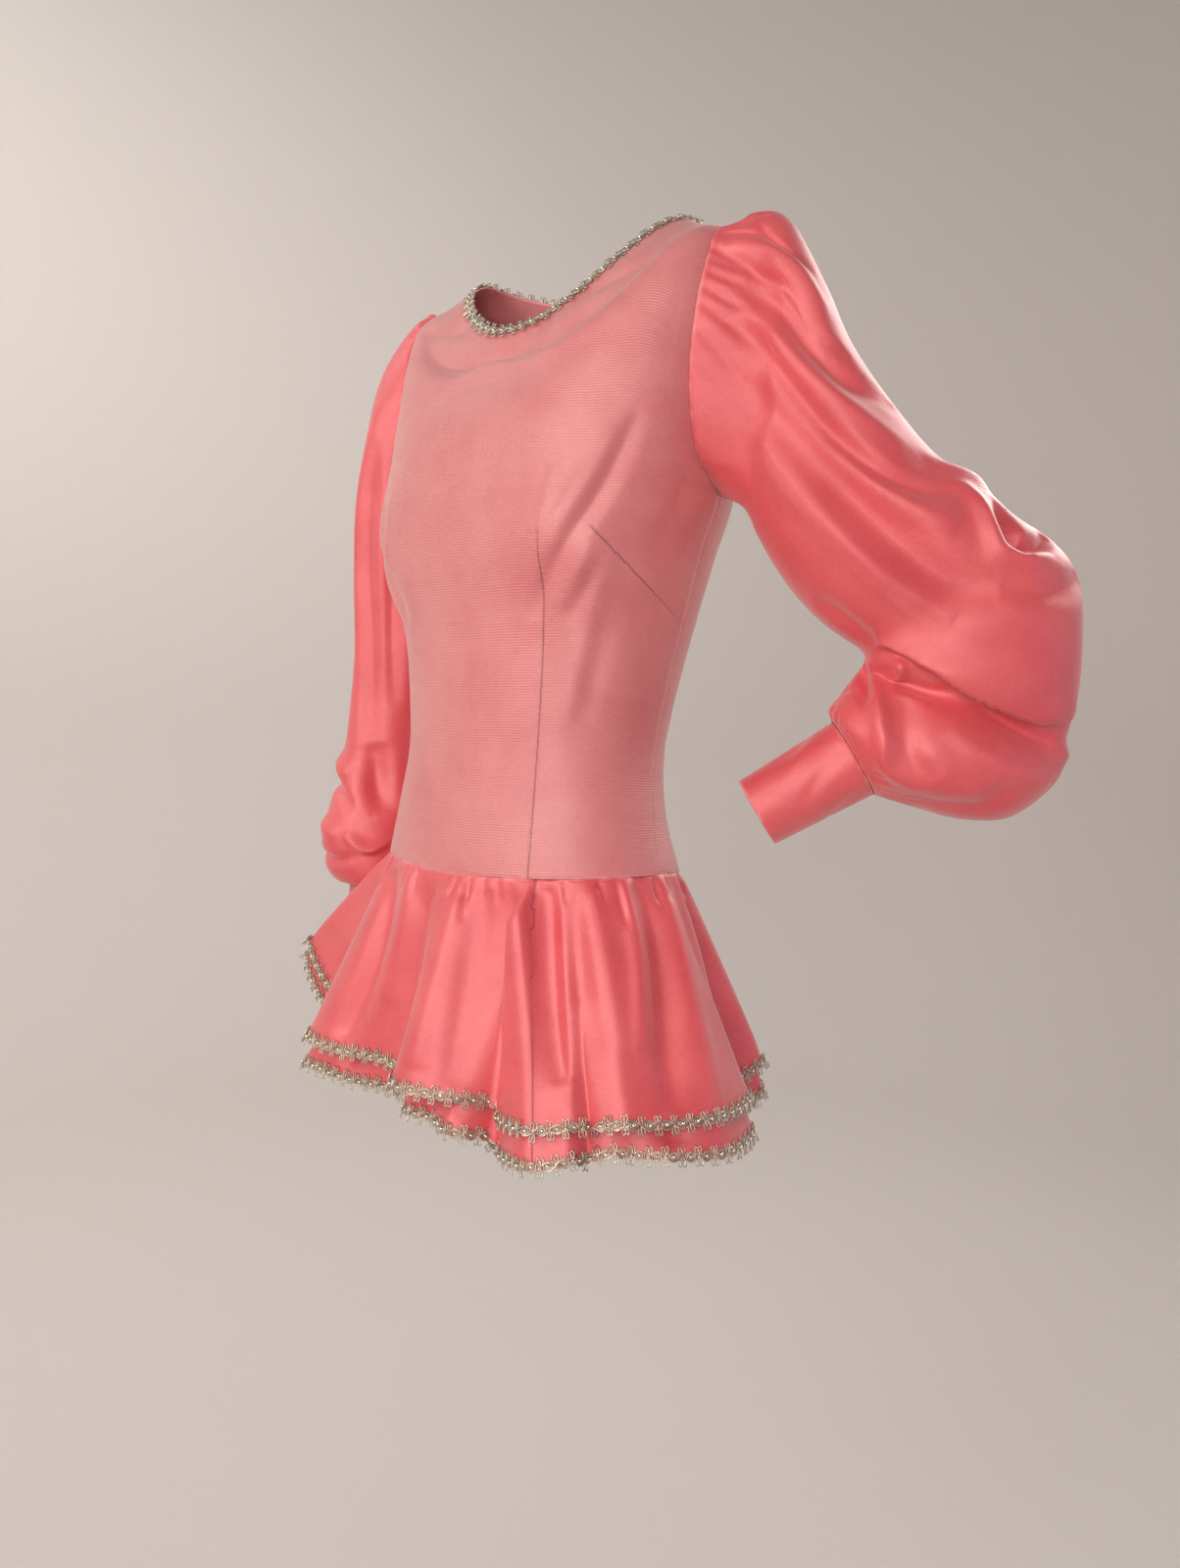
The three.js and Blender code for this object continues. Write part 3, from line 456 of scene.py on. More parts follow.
RIGHT_RINGS = np.array([
    (0, -224, 14, -17, 40, 40, 2), (2, -240, 46, -46, 50, 48, 4), (4, -262, 66, -92, 52, 50, 5),
    (6, -290, 76, -154, 52, 50, 5), (10, -322, 81, -224, 50, 50, 5), (14, -360, 84, -295, 47, 50, 6),
    (18, -400, 86, -356, 46, 50, 10), (18, -436, 90, -410, 46, 50, 14), (14, -470, 97, -455, 52, 52, 18),
    (12, -504, 103, -496, 58, 54, 21), (9, -529, 99, -526, 51, 49, 23), (11, -539, 89, -538, 39, 39, 24),
    (20, -523.5, 80, -526.5, 30, 30, 25),
])


def arm_frame(arm):
    x, y, turn, side = arm
    turn = math.radians(turn)
    out = np.array([side * math.cos(turn), math.sin(turn), 0])
    face = np.array([side * math.sin(turn), -math.cos(turn), 0])
    return np.array([x, y, 0.0]), out, face


def armhole(degrees, side):
    up = UNDERARM_UP + (SHOULDER_UP - UNDERARM_UP) * (1 + np.cos(np.radians(degrees))) / 2
    angle = np.where(degrees <= 180, front_edge(up), back_edge(up))
    point = body(angle, up)
    point[..., 0] = side * (point[..., 0] + SEAM_GAP)
    return point


def sleeve_rings(arm, rings, degrees):
    """The sleeve's own rings at these degrees, the armhole first: (ring, degrees, xyz)."""
    start, out, face = arm_frame(arm)
    along = (1 + np.cos(np.radians(degrees))) / 2
    across = np.sin(np.radians(degrees))
    rows = [armhole(degrees, arm[3])]
    for in_out, in_up, out_out, out_up, front, back, ahead in rings:
        depth = np.where(across > 0, front, back)
        point = start + (in_out + (out_out - in_out) * along)[:, None] * out
        point = point + (ahead + depth * across)[:, None] * face
        point[:, 2] += in_up + (out_up - in_up) * along
        rows.append(point)
    return np.array(rows)


def sleeve_grid(arm, rings, ring_places, degrees):
    table = sleeve_rings(arm, rings, degrees % 360)
    return curve(np.arange(len(rings) + 1), table, ring_places)


def sleeve_path(arm, rings, path):
    """Points of the sleeve under a path of (ring, degrees)."""
    path = np.array(path, float)
    table = sleeve_rings(arm, rings, path[:, 1] % 360)
    return np.array([curve(np.arange(len(rings) + 1), table[:, k], place) for k, place in enumerate(path[:, 0])])


# ---- Cloth pieces ----
def surface_normals(points, closed):
    """Outward normals of a grid whose rows rise and whose columns turn to the wearer's left."""
    if closed:
        across = np.roll(points, -1, 1) - np.roll(points, 1, 1)
    else:
        across = np.gradient(points, axis=1)
    return unit(np.cross(across, np.gradient(points, axis=0)))


def along_path(path, count=160):
    """A path's points spread evenly along it on a smooth curve."""
    path = np.asarray(path, float)
    length = np.concatenate([[0], np.cumsum(np.linalg.norm(np.diff(path, axis=0), axis=1))])
    return curve(length, path, np.linspace(0, length[-1], count)), length[-1]


def to_line(points, normals, path):
    """For each point: signed distance to the path along the surface, share along it, and distance past its ends."""
    line, length = along_path(path)
    flat = points.reshape(-1, 3)
    nearest = np.empty(len(flat), int)
    for begin in range(0, len(flat), 20000):
        part = flat[begin:begin + 20000]
        gap = (part**2).sum(1)[:, None] - 2 * part @ line.T + (line**2).sum(1)[None]
        nearest[begin:begin + 20000] = gap.argmin(1)
    tangent = unit(np.gradient(line, axis=0))[nearest]
    offset = flat - line[nearest]
    along = (offset * tangent).sum(1)
    sideways = np.cross(normals.reshape(-1, 3), tangent)
    across = (offset * unit(sideways)).sum(1)
    last = len(line) - 1
    past = np.where(nearest == 0, -along, np.where(nearest == last, along, -length / 2))
    past = np.maximum(past, -np.minimum(nearest, last - nearest) * length / last)
    far = np.linalg.norm(offset, axis=1)
    across = np.where(across < 0, -1, 1) * np.maximum(abs(across), np.where(past > 0, 0, far))
    shape = points.shape[:2]
    return across.reshape(shape), (nearest / last).reshape(shape), past.reshape(shape), far.reshape(shape)


def crease(points, normals, path, wide, high, lean=0.0, steep=1.0, fade=0.6):
    """A soft ridge (or trough, if high is negative) along a path.

    `steep` narrows its side to the left of the path as seen from outside, and `lean` lays the ridge over that side."""
    reach = 3 * wide + abs(lean)
    low, high_corner = path.min(0) - reach, path.max(0) + reach
    rows, columns = np.nonzero(((points > low) & (points < high_corner)).all(-1))
    if not len(rows):
        return points
    near, out = points[rows, columns][None], normals[rows, columns][None]
    across, share, past, far = to_line(near, out, path)
    span = wide * np.where(across > 0, 1 / steep, 1.0)
    window = np.sin(np.pi * np.clip(share, 0.001, 0.999)) ** fade
    relief = window * bell(far / span)
    moved = near + out * (high * relief)[..., None]
    if lean:
        line, _ = along_path(path)
        tangent = unit(np.gradient(line, axis=0))[np.rint(share * (len(line) - 1)).astype(int)]
        moved += unit(np.cross(out, tangent)) * (lean * relief)[..., None]
    points = points.copy()
    points[rows, columns] = moved[0]
    return points


SHEET_THICK = 1.0
RIM_REACH = 0.45  # how far a turned edge rounds past the cloth


def cloth(name, points, closed, material, node, attributes=None, slot="satin_knit"):
    """A sheet of cloth as a closed shell: outer face, inner face, and edges rounded as a turned hem is."""
    points = np.asarray(points, float)
    rows, columns = points.shape[:2]
    normals = surface_normals(points, closed)
    inner = points - normals * SHEET_THICK
    middle = points - normals * SHEET_THICK / 2
    down = unit(points[0] - points[1]) * RIM_REACH
    up = unit(points[-1] - points[-2]) * RIM_REACH
    layers = [points, inner, (middle[0] + down)[None], (middle[-1] + up)[None]]
    if not closed:
        left = unit(points[:, 0] - points[:, 1]) * RIM_REACH
        right = unit(points[:, -1] - points[:, -2]) * RIM_REACH
        layers += [(middle[:, 0] + left)[None], (middle[:, -1] + right)[None]]
    corners = np.concatenate([layer.reshape(-1, 3) for layer in layers]) * MM
    index = np.arange(rows * columns).reshape(rows, columns)
    inner_index = index + rows * columns
    bottom = 2 * rows * columns + np.arange(columns)
    top = bottom + columns

    def quads(a, b):
        """Faces between two rows of corners, a below b, seen from the side where columns turn left."""
        if closed:
            a, b = np.append(a, a[..., :1], -1), np.append(b, b[..., :1], -1)
        return np.stack([a[..., :-1], a[..., 1:], b[..., 1:], b[..., :-1]], -1).reshape(-1, 4)

    faces = [quads(index[:-1], index[1:]), quads(inner_index[1:], inner_index[:-1])]
    faces += [quads(bottom, index[0]), quads(inner_index[0], bottom)]
    faces += [quads(index[-1], top), quads(top, inner_index[-1])]
    if not closed:
        left = 2 * (rows + 1) * columns + np.arange(rows)
        right = left + rows

        def upright(a, b):
            return np.stack([a[:-1], b[:-1], b[1:], a[1:]], -1)

        faces += [upright(left, index[:, 0]), upright(inner_index[:, 0], left)]
        faces += [upright(index[:, -1], right), upright(right, inner_index[:, -1])]
        ends = [
            (bottom[0], index[0, 0], left[0]), (bottom[0], left[0], inner_index[0, 0]),
            (bottom[-1], right[0], index[0, -1]), (bottom[-1], inner_index[0, -1], right[0]),
            (top[0], left[-1], index[-1, 0]), (top[0], inner_index[-1, 0], left[-1]),
            (top[-1], index[-1, -1], right[-1]), (top[-1], right[-1], inner_index[-1, -1]),
        ]
    else:
        ends = []
    mesh = bpy.data.meshes.new(name)
    polygons = [tuple(int(k) for k in face) for block in faces for face in block]
    polygons += [tuple(int(k) for k in end) for end in ends]
    mesh.from_pydata(corners.tolist(), [], polygons)
    mesh.polygons.foreach_set("use_smooth", [True] * len(polygons))
    # The cloth's own map in metres: how far across on its mean line, and how far along on each column.
    along = np.concatenate([np.zeros((1, columns)), np.cumsum(np.linalg.norm(np.diff(points, axis=0), axis=2), axis=0)])
    step_across = np.linalg.norm(np.diff(points, axis=1), axis=2).mean(0)
    across = np.concatenate([[0], np.cumsum(step_across)])[None] * np.ones((rows, 1))
    grid_uv = np.stack([across, along], -1).reshape(-1, 2) * MM
    parts = [grid_uv, grid_uv, grid_uv.reshape(rows, columns, 2)[0], grid_uv.reshape(rows, columns, 2)[-1]]
    if not closed:
        parts += [grid_uv.reshape(rows, columns, 2)[:, 0], grid_uv.reshape(rows, columns, 2)[:, -1]]
    point_uv = np.concatenate(parts)
    layer = mesh.uv_layers.new(name="cloth")
    loops = np.empty(len(mesh.loops), int)
    mesh.loops.foreach_get("vertex_index", loops)
    loop_uv = point_uv[loops]
    if closed:
        # On the last column of faces the map runs on instead of jumping back.
        girth = (across[0, -1] + np.linalg.norm(points[:, 0] - points[:, -1], axis=1).mean()) * MM
        starts = loop_uv.reshape(-1, 4, 2)
        wraps = starts[:, :, 0].max(1) - starts[:, :, 0].min(1) > girth / 2
        first = starts[:, :, 0] < girth / 2
        starts[:, :, 0] += np.where(wraps[:, None] & first, girth, 0)
        loop_uv = starts.reshape(-1, 2)
    layer.data.foreach_set("uv", loop_uv.ravel().astype(np.float32))
    # Distance from the nearest open edge, in millimetres.
    from_edge = np.minimum(along, along[-1:] - along)
    if not closed:
        from_edge = np.minimum(from_edge, np.minimum(across, across[:, -1:] - across))
    values = {"edge": from_edge}
    values.update(attributes or {})
    for title, grid in values.items():
        grid = np.asarray(grid, float)
        edges = [grid, grid, grid[:1], grid[-1:]]
        if not closed:
            edges += [grid[:, :1], grid[:, -1:]]
        if grid.ndim == 3:
            data = mesh.attributes.new(title, "FLOAT_VECTOR", "POINT")
            flat = np.concatenate([e.reshape(-1, 3) for e in edges])
            data.data.foreach_set("vector", flat.ravel().astype(np.float32))
        else:
            data = mesh.attributes.new(title, "FLOAT", "POINT")
            data.data.foreach_set("value", np.concatenate([e.ravel() for e in edges]).astype(np.float32))
    mesh.validate()
    piece = bpy.data.objects.new(name, mesh)
    bpy.context.scene.collection.objects.link(piece)
    mesh.materials.append(material)
    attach(piece, DRESS)
    if node:
        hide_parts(node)
    return piece


# ---- Sewn lines and folds ----
def line_attribute(points, normals, path):
    """A sewn line as an attribute: millimetres across it, past its ends, and along it."""
    across, share, past, _ = to_line(points, normals, path)
    length = along_path(path)[1]
    return np.stack([np.clip(across, -60, 60), np.clip(past, -60, 60), share * length], -1)


def fold_all(points, normals, folds, place, fade=0.6):
    """Lays every fold of a table on the points. Each row: half width, height, lean, steep, path."""
    for wide, high, lean, steep, path in folds:
        points = crease(points, normals, place(path), wide, high, lean, steep, fade)
    return points


def mirrored(folds):
    """The same folds on the wearer's other side, for paths of (angle, up)."""
    return [(w, h, -lean, steep, [(-a, u) for a, u in path]) for w, h, lean, steep, path in folds]


# ---- Bodice ----
WAIST_DART = [(37, 0.0), (38.5, 0.06), (40, 0.12), (40, 0.2), (39, 0.295), (36, 0.4), (31, 0.51)]
BUST_DART = [(101, 0.39), (87, 0.422), (73, 0.455), (61, 0.483), (50, 0.51)]
DART_SHARE = 0.38
DART_COLUMN = [(0, 37), (0.12, 40), (0.295, 39), (0.51, 31), (0.7, 30), (0.86, 31), (1, 33)]
BODICE_FOLDS = [
    (3.0, -0.9, 0, 1, WAIST_DART),
    (4.0, -0.7, 0, 1, BUST_DART),
    (7.5, -5.6, 0, 1.3, [(31, 0.385), (35.5, 0.435), (43, 0.5), (49, 0.545), (55, 0.605), (61, 0.665)]),
    (7, 2.2, 0, 1, [(31, 0.465), (38, 0.525), (45, 0.58), (52, 0.65)]),
    (4, 1.2, 0, 1, [(31, 0.5), (32, 0.546), (33.5, 0.6)]),
    (11, -5.5, 0, 1, [(-20, 0.97), (-2, 0.938), (16, 0.903), (32, 0.893), (49, 0.894), (60, 0.9)]),
    (10, 3.0, 0, 1, [(-10, 0.9), (5, 0.865), (18, 0.842), (32, 0.834), (46, 0.838)]),
    (7, -2.6, 0, 1, [(26, 0.985), (38, 0.952), (48, 0.92), (58, 0.892)]),
    (5, 1.8, 0, 1, [(41, 0.4), (47, 0.45), (52, 0.49)]), (5, -1.6, 0, 1, [(45, 0.38), (52, 0.43), (57, 0.47)]),
    (8, 1.7, 0, 1, [(50, 0.22), (53, 0.3), (55, 0.38), (58, 0.47)]),
    (9, -1.8, 0, 1, [(60, 0.24), (62, 0.32), (64, 0.4)]),
    (12, -2.0, 0, 1, [(88, 0.6), (84, 0.53), (82, 0.46)]),
]
BACK_FOLDS = [
    (12, -3.0, 0, 1, [(172, 0.17), (150, 0.2), (122, 0.24)]),
    (11, -2.6, 0, 1, [(170, 0.27), (148, 0.25), (124, 0.3)]),
    (12, -2.4, 0, 1, [(168, 0.36), (150, 0.33), (130, 0.37)]),
    (16, -3.0, 0, 1, [(122, 0.62), (134, 0.68), (142, 0.76)]),
    (14, 2.0, 0, 1, [(168, 0.6), (160, 0.7), (158, 0.8)]),
    (3.0, -0.8, 0, 1, [(149, 0.0), (150, 0.12), (151, 0.25), (152, 0.4)]),
]


def body_path(path):
    path = np.array(path, float)
    return body(path[:, 0], path[:, 1])


def bodice_front():
    ups = np.linspace(0, 1, 180)[:, None]
    half = np.linspace(0, 1, 70)
    shares = np.concatenate([-half[:0:-1], half])[None]
    dart = curve([row[0] for row in DART_COLUMN], [row[1] for row in DART_COLUMN], ups)
    edge = front_edge(ups)
    size = abs(shares)
    angle = np.where(
        size < DART_SHARE, dart * size / DART_SHARE, dart + (edge - dart) * (size - DART_SHARE) / (1 - DART_SHARE)
    ) * np.sign(shares)
    points = body(angle, ups)
    normals = surface_normals(points, False)
    folds = BODICE_FOLDS + mirrored(BODICE_FOLDS)
    points = fold_all(points, normals, folds, body_path)
    lines = {}
    for title, path in (("bust_dart", BUST_DART), ("waist_dart", WAIST_DART)):
        left = line_attribute(points, normals, body_path(path))
        right = line_attribute(points, normals, body_path([(-a, u) for a, u in path])[::-1])
        lines[title] = np.where(shares[..., None] > 0, left, right)
    return cloth("bodice_front_knit", points, False, BODICE_KNIT, "bodice_front", attributes=lines)


def bodice_back(name, node, side):
    ups = np.linspace(0, 1, 140)[:, None]
    shares = np.linspace(0, 1, 56)[None]
    start, end = back_edge(ups), back_angle(ZIP_HALF_OPENING, ups)
    angle = start + (end - start) * shares
    if side < 0:
        angle = -angle[:, ::-1]
    points = body(angle, ups)
    folds = BACK_FOLDS if side > 0 else mirrored(BACK_FOLDS)
    points = fold_all(points, surface_normals(points, False), folds, body_path)
    return cloth(name, points, False, BODICE_BACK_KNIT, node)


# ---- Sleeves ----
# degrees at the seam, degrees at the far end, reach in rings, half width, height
HEAD_GATHERS = [
    (-84, -80, 0.7, 3.0, -1.6), (-72, -70, 0.9, 3.2, -2.0), (-61, -58, 1.2, 3.4, -2.4), (-50, -50, 0.8, 3.0, -1.8),
    (-41, -38, 1.3, 3.4, -2.6), (-31, -30, 0.9, 3.0, -2.0), (-22, -20, 1.5, 3.6, -2.8), (-12, -12, 0.9, 3.0, -2.0),
    (-3, -1, 1.3, 3.4, -2.6), (7, 6, 0.8, 3.0, -2.0), (16, 17, 1.4, 3.4, -2.8), (26, 28, 0.9, 3.0, -2.2),
    (35, 40, 1.2, 3.2, -2.4), (45, 57, 0.8, 2.8, -2.4), (51, 60, 0.75, 2.6, -2.2), (57, 65, 0.75, 2.6, -2.4),
    (64, 76, 0.85, 2.8, -2.6), (70, 88, 1.0, 3.0, -2.2), (79, 104, 0.9, 3.2, -1.8), (90, 112, 0.8, 3.4, -1.2),
]
CUFF_GATHERS = [
    (15 * k + (k * 7) % 5, 0.7 + 0.25 * ((k * 5) % 4), 2.6 + 0.4 * ((k * 3) % 3), -1.7 - 0.4 * ((k * 7) % 3))
    for k in range(24)
]
# Each fold: half width, height, lean, steep, then its path of (ring, degrees).
LEFT_FOLDS = [
    # front of the upper arm: the long valleys that fan from the sleeve's head, and their sharp lines
    (10, -9, 0, 1, [(0.7, 62), (2.1, 71), (3.1, 64), (4.25, 48), (5.1, 20)]),
    (8, 4, 0, 1, [(0.8, 72), (2.2, 81), (3.3, 74), (4.4, 62), (5.6, 45)]),
    (8, -7, 0, 1.6, [(0.6, 76), (2.25, 91), (3.4, 85), (4.6, 76), (5.5, 69), (6.3, 57), (6.8, 45)]),
    (3, -2, 0, 1, [(2.25, 90), (3.4, 84), (4.6, 75), (5.5, 68), (6.25, 56)]),
    (17, -13, 0, 1, [(0.75, 103), (2.6, 105), (4.6, 95), (6.1, 92), (8.0, 93), (9.2, 82), (9.5, 56)]),
    (10, 6, 0, 1, [(2.4, 99), (3.6, 94), (4.8, 84), (6.1, 75), (7.3, 66)]),
    (11, 7, 0, 1, [(0.9, 116), (3.5, 116), (5.5, 111), (7.6, 112), (9.8, 104)]),
    (4, -3.2, 0, 1, [(1.38, 124), (2.75, 121), (4.1, 117), (5.5, 115), (7.6, 116), (10.1, 112)]),
    (3.5, -3, 0, 2, [(1.1, 29), (1.5, 42), (2.1, 45), (2.7, 30)]),
    (4.5, -4.5, 0, 1.8, [(0.4, 48), (1.1, 60), (2.25, 60), (3.0, 58), (3.5, 49), (4.1, 36)]),
    (8, 4.5, 3, 1, [(0.4, 40), (1.5, 52), (2.4, 50), (3.2, 42)]),
    # the sagging fold over the elbow with its dark mouth
    (7, 7, 0, 1, [(6.7, 38), (7.3, 44), (7.9, 55), (8.5, 62), (9.1, 55), (9.15, 35)]),
    (7, -13, 0, 1, [(7.6, 22), (8.1, 42), (8.7, 47), (8.9, 32), (8.8, 10)]),
    (10, -7, 0, 1, [(9.4, 75), (9.9, 60), (10.1, 38), (9.9, 12)]),
    (8, 4, 0, 1, [(5.9, 40), (6.9, 20), (7.3, 0)]),
    # the front edge of the upper puff hangs over the forearm's puff
    (9, 9, 9, 2.4, [(12.3, 12), (12.5, 53), (12.3, 78), (12.0, 97), (11.4, 115), (9.8, 139), (8.4, 152)]),
    (4.5, -7, 0, 1, [(13.05, 34), (13.1, 53), (12.95, 78), (12.7, 97), (12.4, 114), (11.1, 139), (9.6, 156)]),
    (4, -5, 0, 1, [(12.9, 134), (12.95, 114), (12.8, 97), (12.9, 75)]),
    (9, 4, 0, 1, [(14.2, 100), (14.4, 75), (14.3, 45), (14.2, 20)]),
    (8, 5, 0, 1, [(13.1, -44), (13.2, -20), (13.2, 10), (13.1, 40)]),
    # the rolled folds inside the elbow
    (4.5, 5, 2, 1, [(8.8, 153), (10.4, 143), (11.6, 137), (12.6, 134), (12.9, 143)]),
    (5, -8, 0, 1, [(12.8, 178), (14.2, 158), (15.3, 140)]),
    (7, 5, 0, 1.4, [(12.0, 170), (14.1, 147), (15.1, 131), (16.1, 110), (16.9, 82), (16.5, 60)]),
    (3, -2.6, 0, 1, [(16.2, 190), (15.4, 175), (15.0, 153), (15.6, 137)]),
    (10, -6, 0, 1, [(13.8, 122), (15.1, 111), (15.9, 90), (15.9, 71)]),
    (9, -5, 0, 1, [(4.9, 157), (5.9, 154), (7.1, 155), (9.0, 153)]),
    (10, -5, 0, 1, [(14.4, 50), (15.6, 40), (17.0, 44)]),
    # the back of the arm
    (12, -7, 0, 1, [(1.5, -34), (4.5, -46), (8.0, -52), (10.5, -46)]),
    (13, -7, 0, 1, [(1.4, -72), (4.0, -74), (7.0, -84), (9.6, -96)]),
    (9, 4, 0, 1, [(2.5, -56), (5.0, -64), (7.6, -70)]),
    (12, -6, 0, 1, [(2.5, -112), (5.5, -112), (8.5, -122)]),
    (10, -6, 0, 1, [(3.5, -146), (6.5, -142), (9.5, -134)]),
    (11, -9, 0, 1, [(8.2, -28), (9.2, -58), (9.4, -92), (9.0, -124)]),
    (10, 6, 5, 2, [(12.2, -12), (12.4, -50), (12.3, -90), (11.6, -130)][::-1]),
    (7, -8, 0, 1, [(13.2, -36), (13.3, -60), (13.2, -90), (12.4, -134)]),
    (12, -6, 0, 1, [(14.2, -44), (16.0, -58), (17.6, -60)]),
    (11, -6, 0, 1, [(14.0, -106), (15.8, -104), (17.6, -110)]),
]
RIGHT_FOLDS = [
    (9, -6, 0, 1, [(0.8, 40), (4.0, 46), (8.0, 50)]),
    (10, -7, 0, 1, [(2.0, 84), (4.0, 96), (5.5, 108), (7.0, 118), (7.8, 128)]),
    (8, 4, 0, 1, [(1.5, 66), (4.0, 74), (6.5, 84)]),
    (9, -5, 0, 1, [(1.5, 122), (4.0, 136), (6.5, 146)]),
    (13, -9, 0, 1, [(7.4, 128), (8.3, 138), (9.1, 150)]),
    (6, 6, 4, 1.6, [(9.7, 112), (10.0, 138), (9.7, 162)][::-1]),
    (6, -7, 0, 1, [(8.7, 30), (8.7, 60), (8.8, 88), (9.1, 116)]),
    (7, 5, 0, 1, [(8.1, 44), (8.3, 70), (8.3, 100)]),
    (5, -6, 0, 1, [(10.3, 40), (10.5, 76), (10.5, 104), (10.2, 128)]),
    (7, 4, 0, 1, [(9.6, 52), (9.7, 84), (9.8, 104)]),
    (10, -6, 0, 1, [(2.0, -14), (5.0, -8), (8.5, -14)]),
    (7, -6, 0, 1, [(8.6, 12), (8.9, -20), (8.8, -60), (9.0, -96)]),
    (8, 5, 4, 1.6, [(9.7, 14), (9.9, -24), (9.8, -66)]),
    (6, -6, 0, 1, [(10.6, 10), (10.7, -30), (10.6, -76)]),
    (12, -7, 0, 1, [(1.6, -60), (4.5, -70), (7.6, -66)]),
    (10, -6, 0, 1, [(2.6, -112), (5.5, -120), (8.2, -126)]),
    (9, -5, 0, 1, [(3.0, -158), (6.0, -162), (8.6, -170)]),
]


def sleeve(name, arm, rings, folds, rows_per_ring, columns, node):
    last = len(rings)
    degrees = (-arm[3] * np.arange(columns) * 360 / columns) % 360
    places = np.linspace(last, 0, last * rows_per_ring + 1)
    points = sleeve_grid(arm, rings, places, degrees)
    normals = surface_normals(points, True)

    def place(path):
        return sleeve_path(arm, rings, path)

    points = fold_all(points, normals, folds, place)
    for start, end, reach, wide, high in HEAD_GATHERS:
        path = [(0.02, start), (reach / 2, (start + end) / 2), (reach, end)]
        points = crease(points, normals, place(path), wide, high, fade=0.35)
    for degree, reach, wide, high in CUFF_GATHERS:
        high *= 0.45 if 30 < degree < 150 else 1
        points = crease(points, normals, place([(last - 0.1, degree), (last - reach, degree)]), wide, high, fade=0.4)
    seam = line_attribute(points, normals, place([(k, 180) for k in range(last + 1)]))
    return cloth(name, points, True, SLEEVE_KNIT, node, attributes={"side_seam": seam})


# ---- Cuffs ----
# out, up and ahead of the top and of the wrist end, then their radii
LEFT_CUFF = ((88.1, -400.3, 0), (21.5, -442, 0), 30, 26.5)
RIGHT_CUFF = ((50, -525.6, 25), (54, -602, 25), 29, 26.5)


# half width, height, then (share up from the wrist, degrees)
CUFF_FOLDS = [
    (6, -1.6, [(0.95, -30), (0.6, 0), (0.35, 24)]), (5, -1.3, [(0.9, 40), (0.7, 62), (0.5, 80)]),
    (6, 1.2, [(0.8, -60), (0.5, -34), (0.25, -10)]), (7, -1.6, [(0.85, 130), (0.55, 150), (0.3, 165)]),
    (6, -1.4, [(0.9, 200), (0.6, 222), (0.3, 230)]), (6, -1.3, [(0.8, -90), (0.55, -70), (0.3, -66)]),
]


def cuff(name, arm, size, node):
    start, out, face = arm_frame(arm)

    def at(place):
        return start + out * place[0] + face * place[2] + np.array([0, 0, place[1]])

    top, end = at(size[0]), at(size[1])
    along = unit(top - end)
    second = np.cross(along, face)
    shares = np.linspace(0, 1, 36)[:, None, None]
    turn = np.radians(np.arange(100) * 3.6)[None, :, None]
    def on_cuff(share, degrees):
        turned = np.radians(degrees)
        round_it = np.cos(turned) * face + np.sin(turned) * second
        return end + (top - end) * share + (size[3] + (size[2] - size[3]) * share) * round_it

    points = on_cuff(shares, np.degrees(turn))
    normals = surface_normals(points, True)
    for wide, high, path in CUFF_FOLDS:
        path = np.array([on_cuff(*place) for place in path])
        points = crease(points, normals, path, wide, high)
    seam = line_attribute(points, normals, points[:, 75])
    return cloth(name, points, True, SLEEVE_KNIT, node, attributes={"side_seam": seam})


# ---- Skirt ----
# angle from the front, reach of the upper hem, how far inside it the lower hangs, lift
HEMS = np.array([
    (-170, 158, 6, 0), (-155, 196, 7, 0), (-138, 160, 6, 0), (-121, 204, 7, -2), (-104, 176, 6, 0),
    (-93, 178, 6, 0), (-84, 194, 8, 4), (-78, 244, 10, 12), (-73, 250, 12, 12), (-62, 170, 7, 4),
    (-48, 158, 6, 0), (-36, 180, 6, 0), (-28, 173, 14, 4), (-19, 150, 11, 10), (-9, 127, 8, 14), (3, 126, 10, 8),
    (8.5, 154, 24, 0), (14, 158, 22, 0), (20, 155, 6, 0), (32, 145, 6, 0), (37, 179, 6, -2), (42, 185, 6, -3),
    (48, 193, 10, -3), (53, 187, 12, -4), (58, 206, 22, -7), (64, 211, 20, -9), (71, 218, 14, -11),
    (84, 220, 6, -12), (97, 213, 6, -10), (109, 201, 6, -8), (122, 168, 6, -4), (137, 194, 8, -2),
    (153, 156, 6, 0), (172, 190, 7, 0),
])
UPPER_TIER, LOWER_TIER = (168, SEAM_GAP, 0), (192, 2 * SEAM_GAP + CLOTH, 1)  # length, down, inner
WAIST_PITCH, WAIST_HIGH, WAIST_FADE = 12, 0.8, 0.2


def skirt(tier, angle, share):
    """Outer points of a tier: share 0 is the hip seam and 1 its hem."""
    length, down, inner = tier
    angle, share = np.broadcast_arrays(np.asarray(angle, float), np.asarray(share, float))
    seam = body(angle, 0.0)
    middle = np.array([0, BODY_RINGS[0, 7], 0]) + seam * [0, 0, 1]
    outwards = unit(seam - middle)
    reach, inside, lift = np.moveaxis(curve(HEMS[:, 0], HEMS[:, 1:], angle, 360.0), -1, 0)
    spread = reach - np.linalg.norm(seam - middle, axis=-1)
    drop = np.sqrt(UPPER_TIER[0] ** 2 - spread**2) - lift
    along = share * length / UPPER_TIER[0]
    inset = inner * (1.9 + (inside - 1.9) * along)
    gather = WAIST_HIGH * smooth(along / 0.06) * np.exp(-along / WAIST_FADE)
    wave = gather * (1 + np.cos(np.radians(360 / WAIST_PITCH * angle)))
    point = seam + outwards * (spread * along + wave - inset)[..., None]
    point[..., 2] -= drop * along + down
    return point


SKIRT_SEAMS = [39.5, -39.5, 100.0, -100.0]
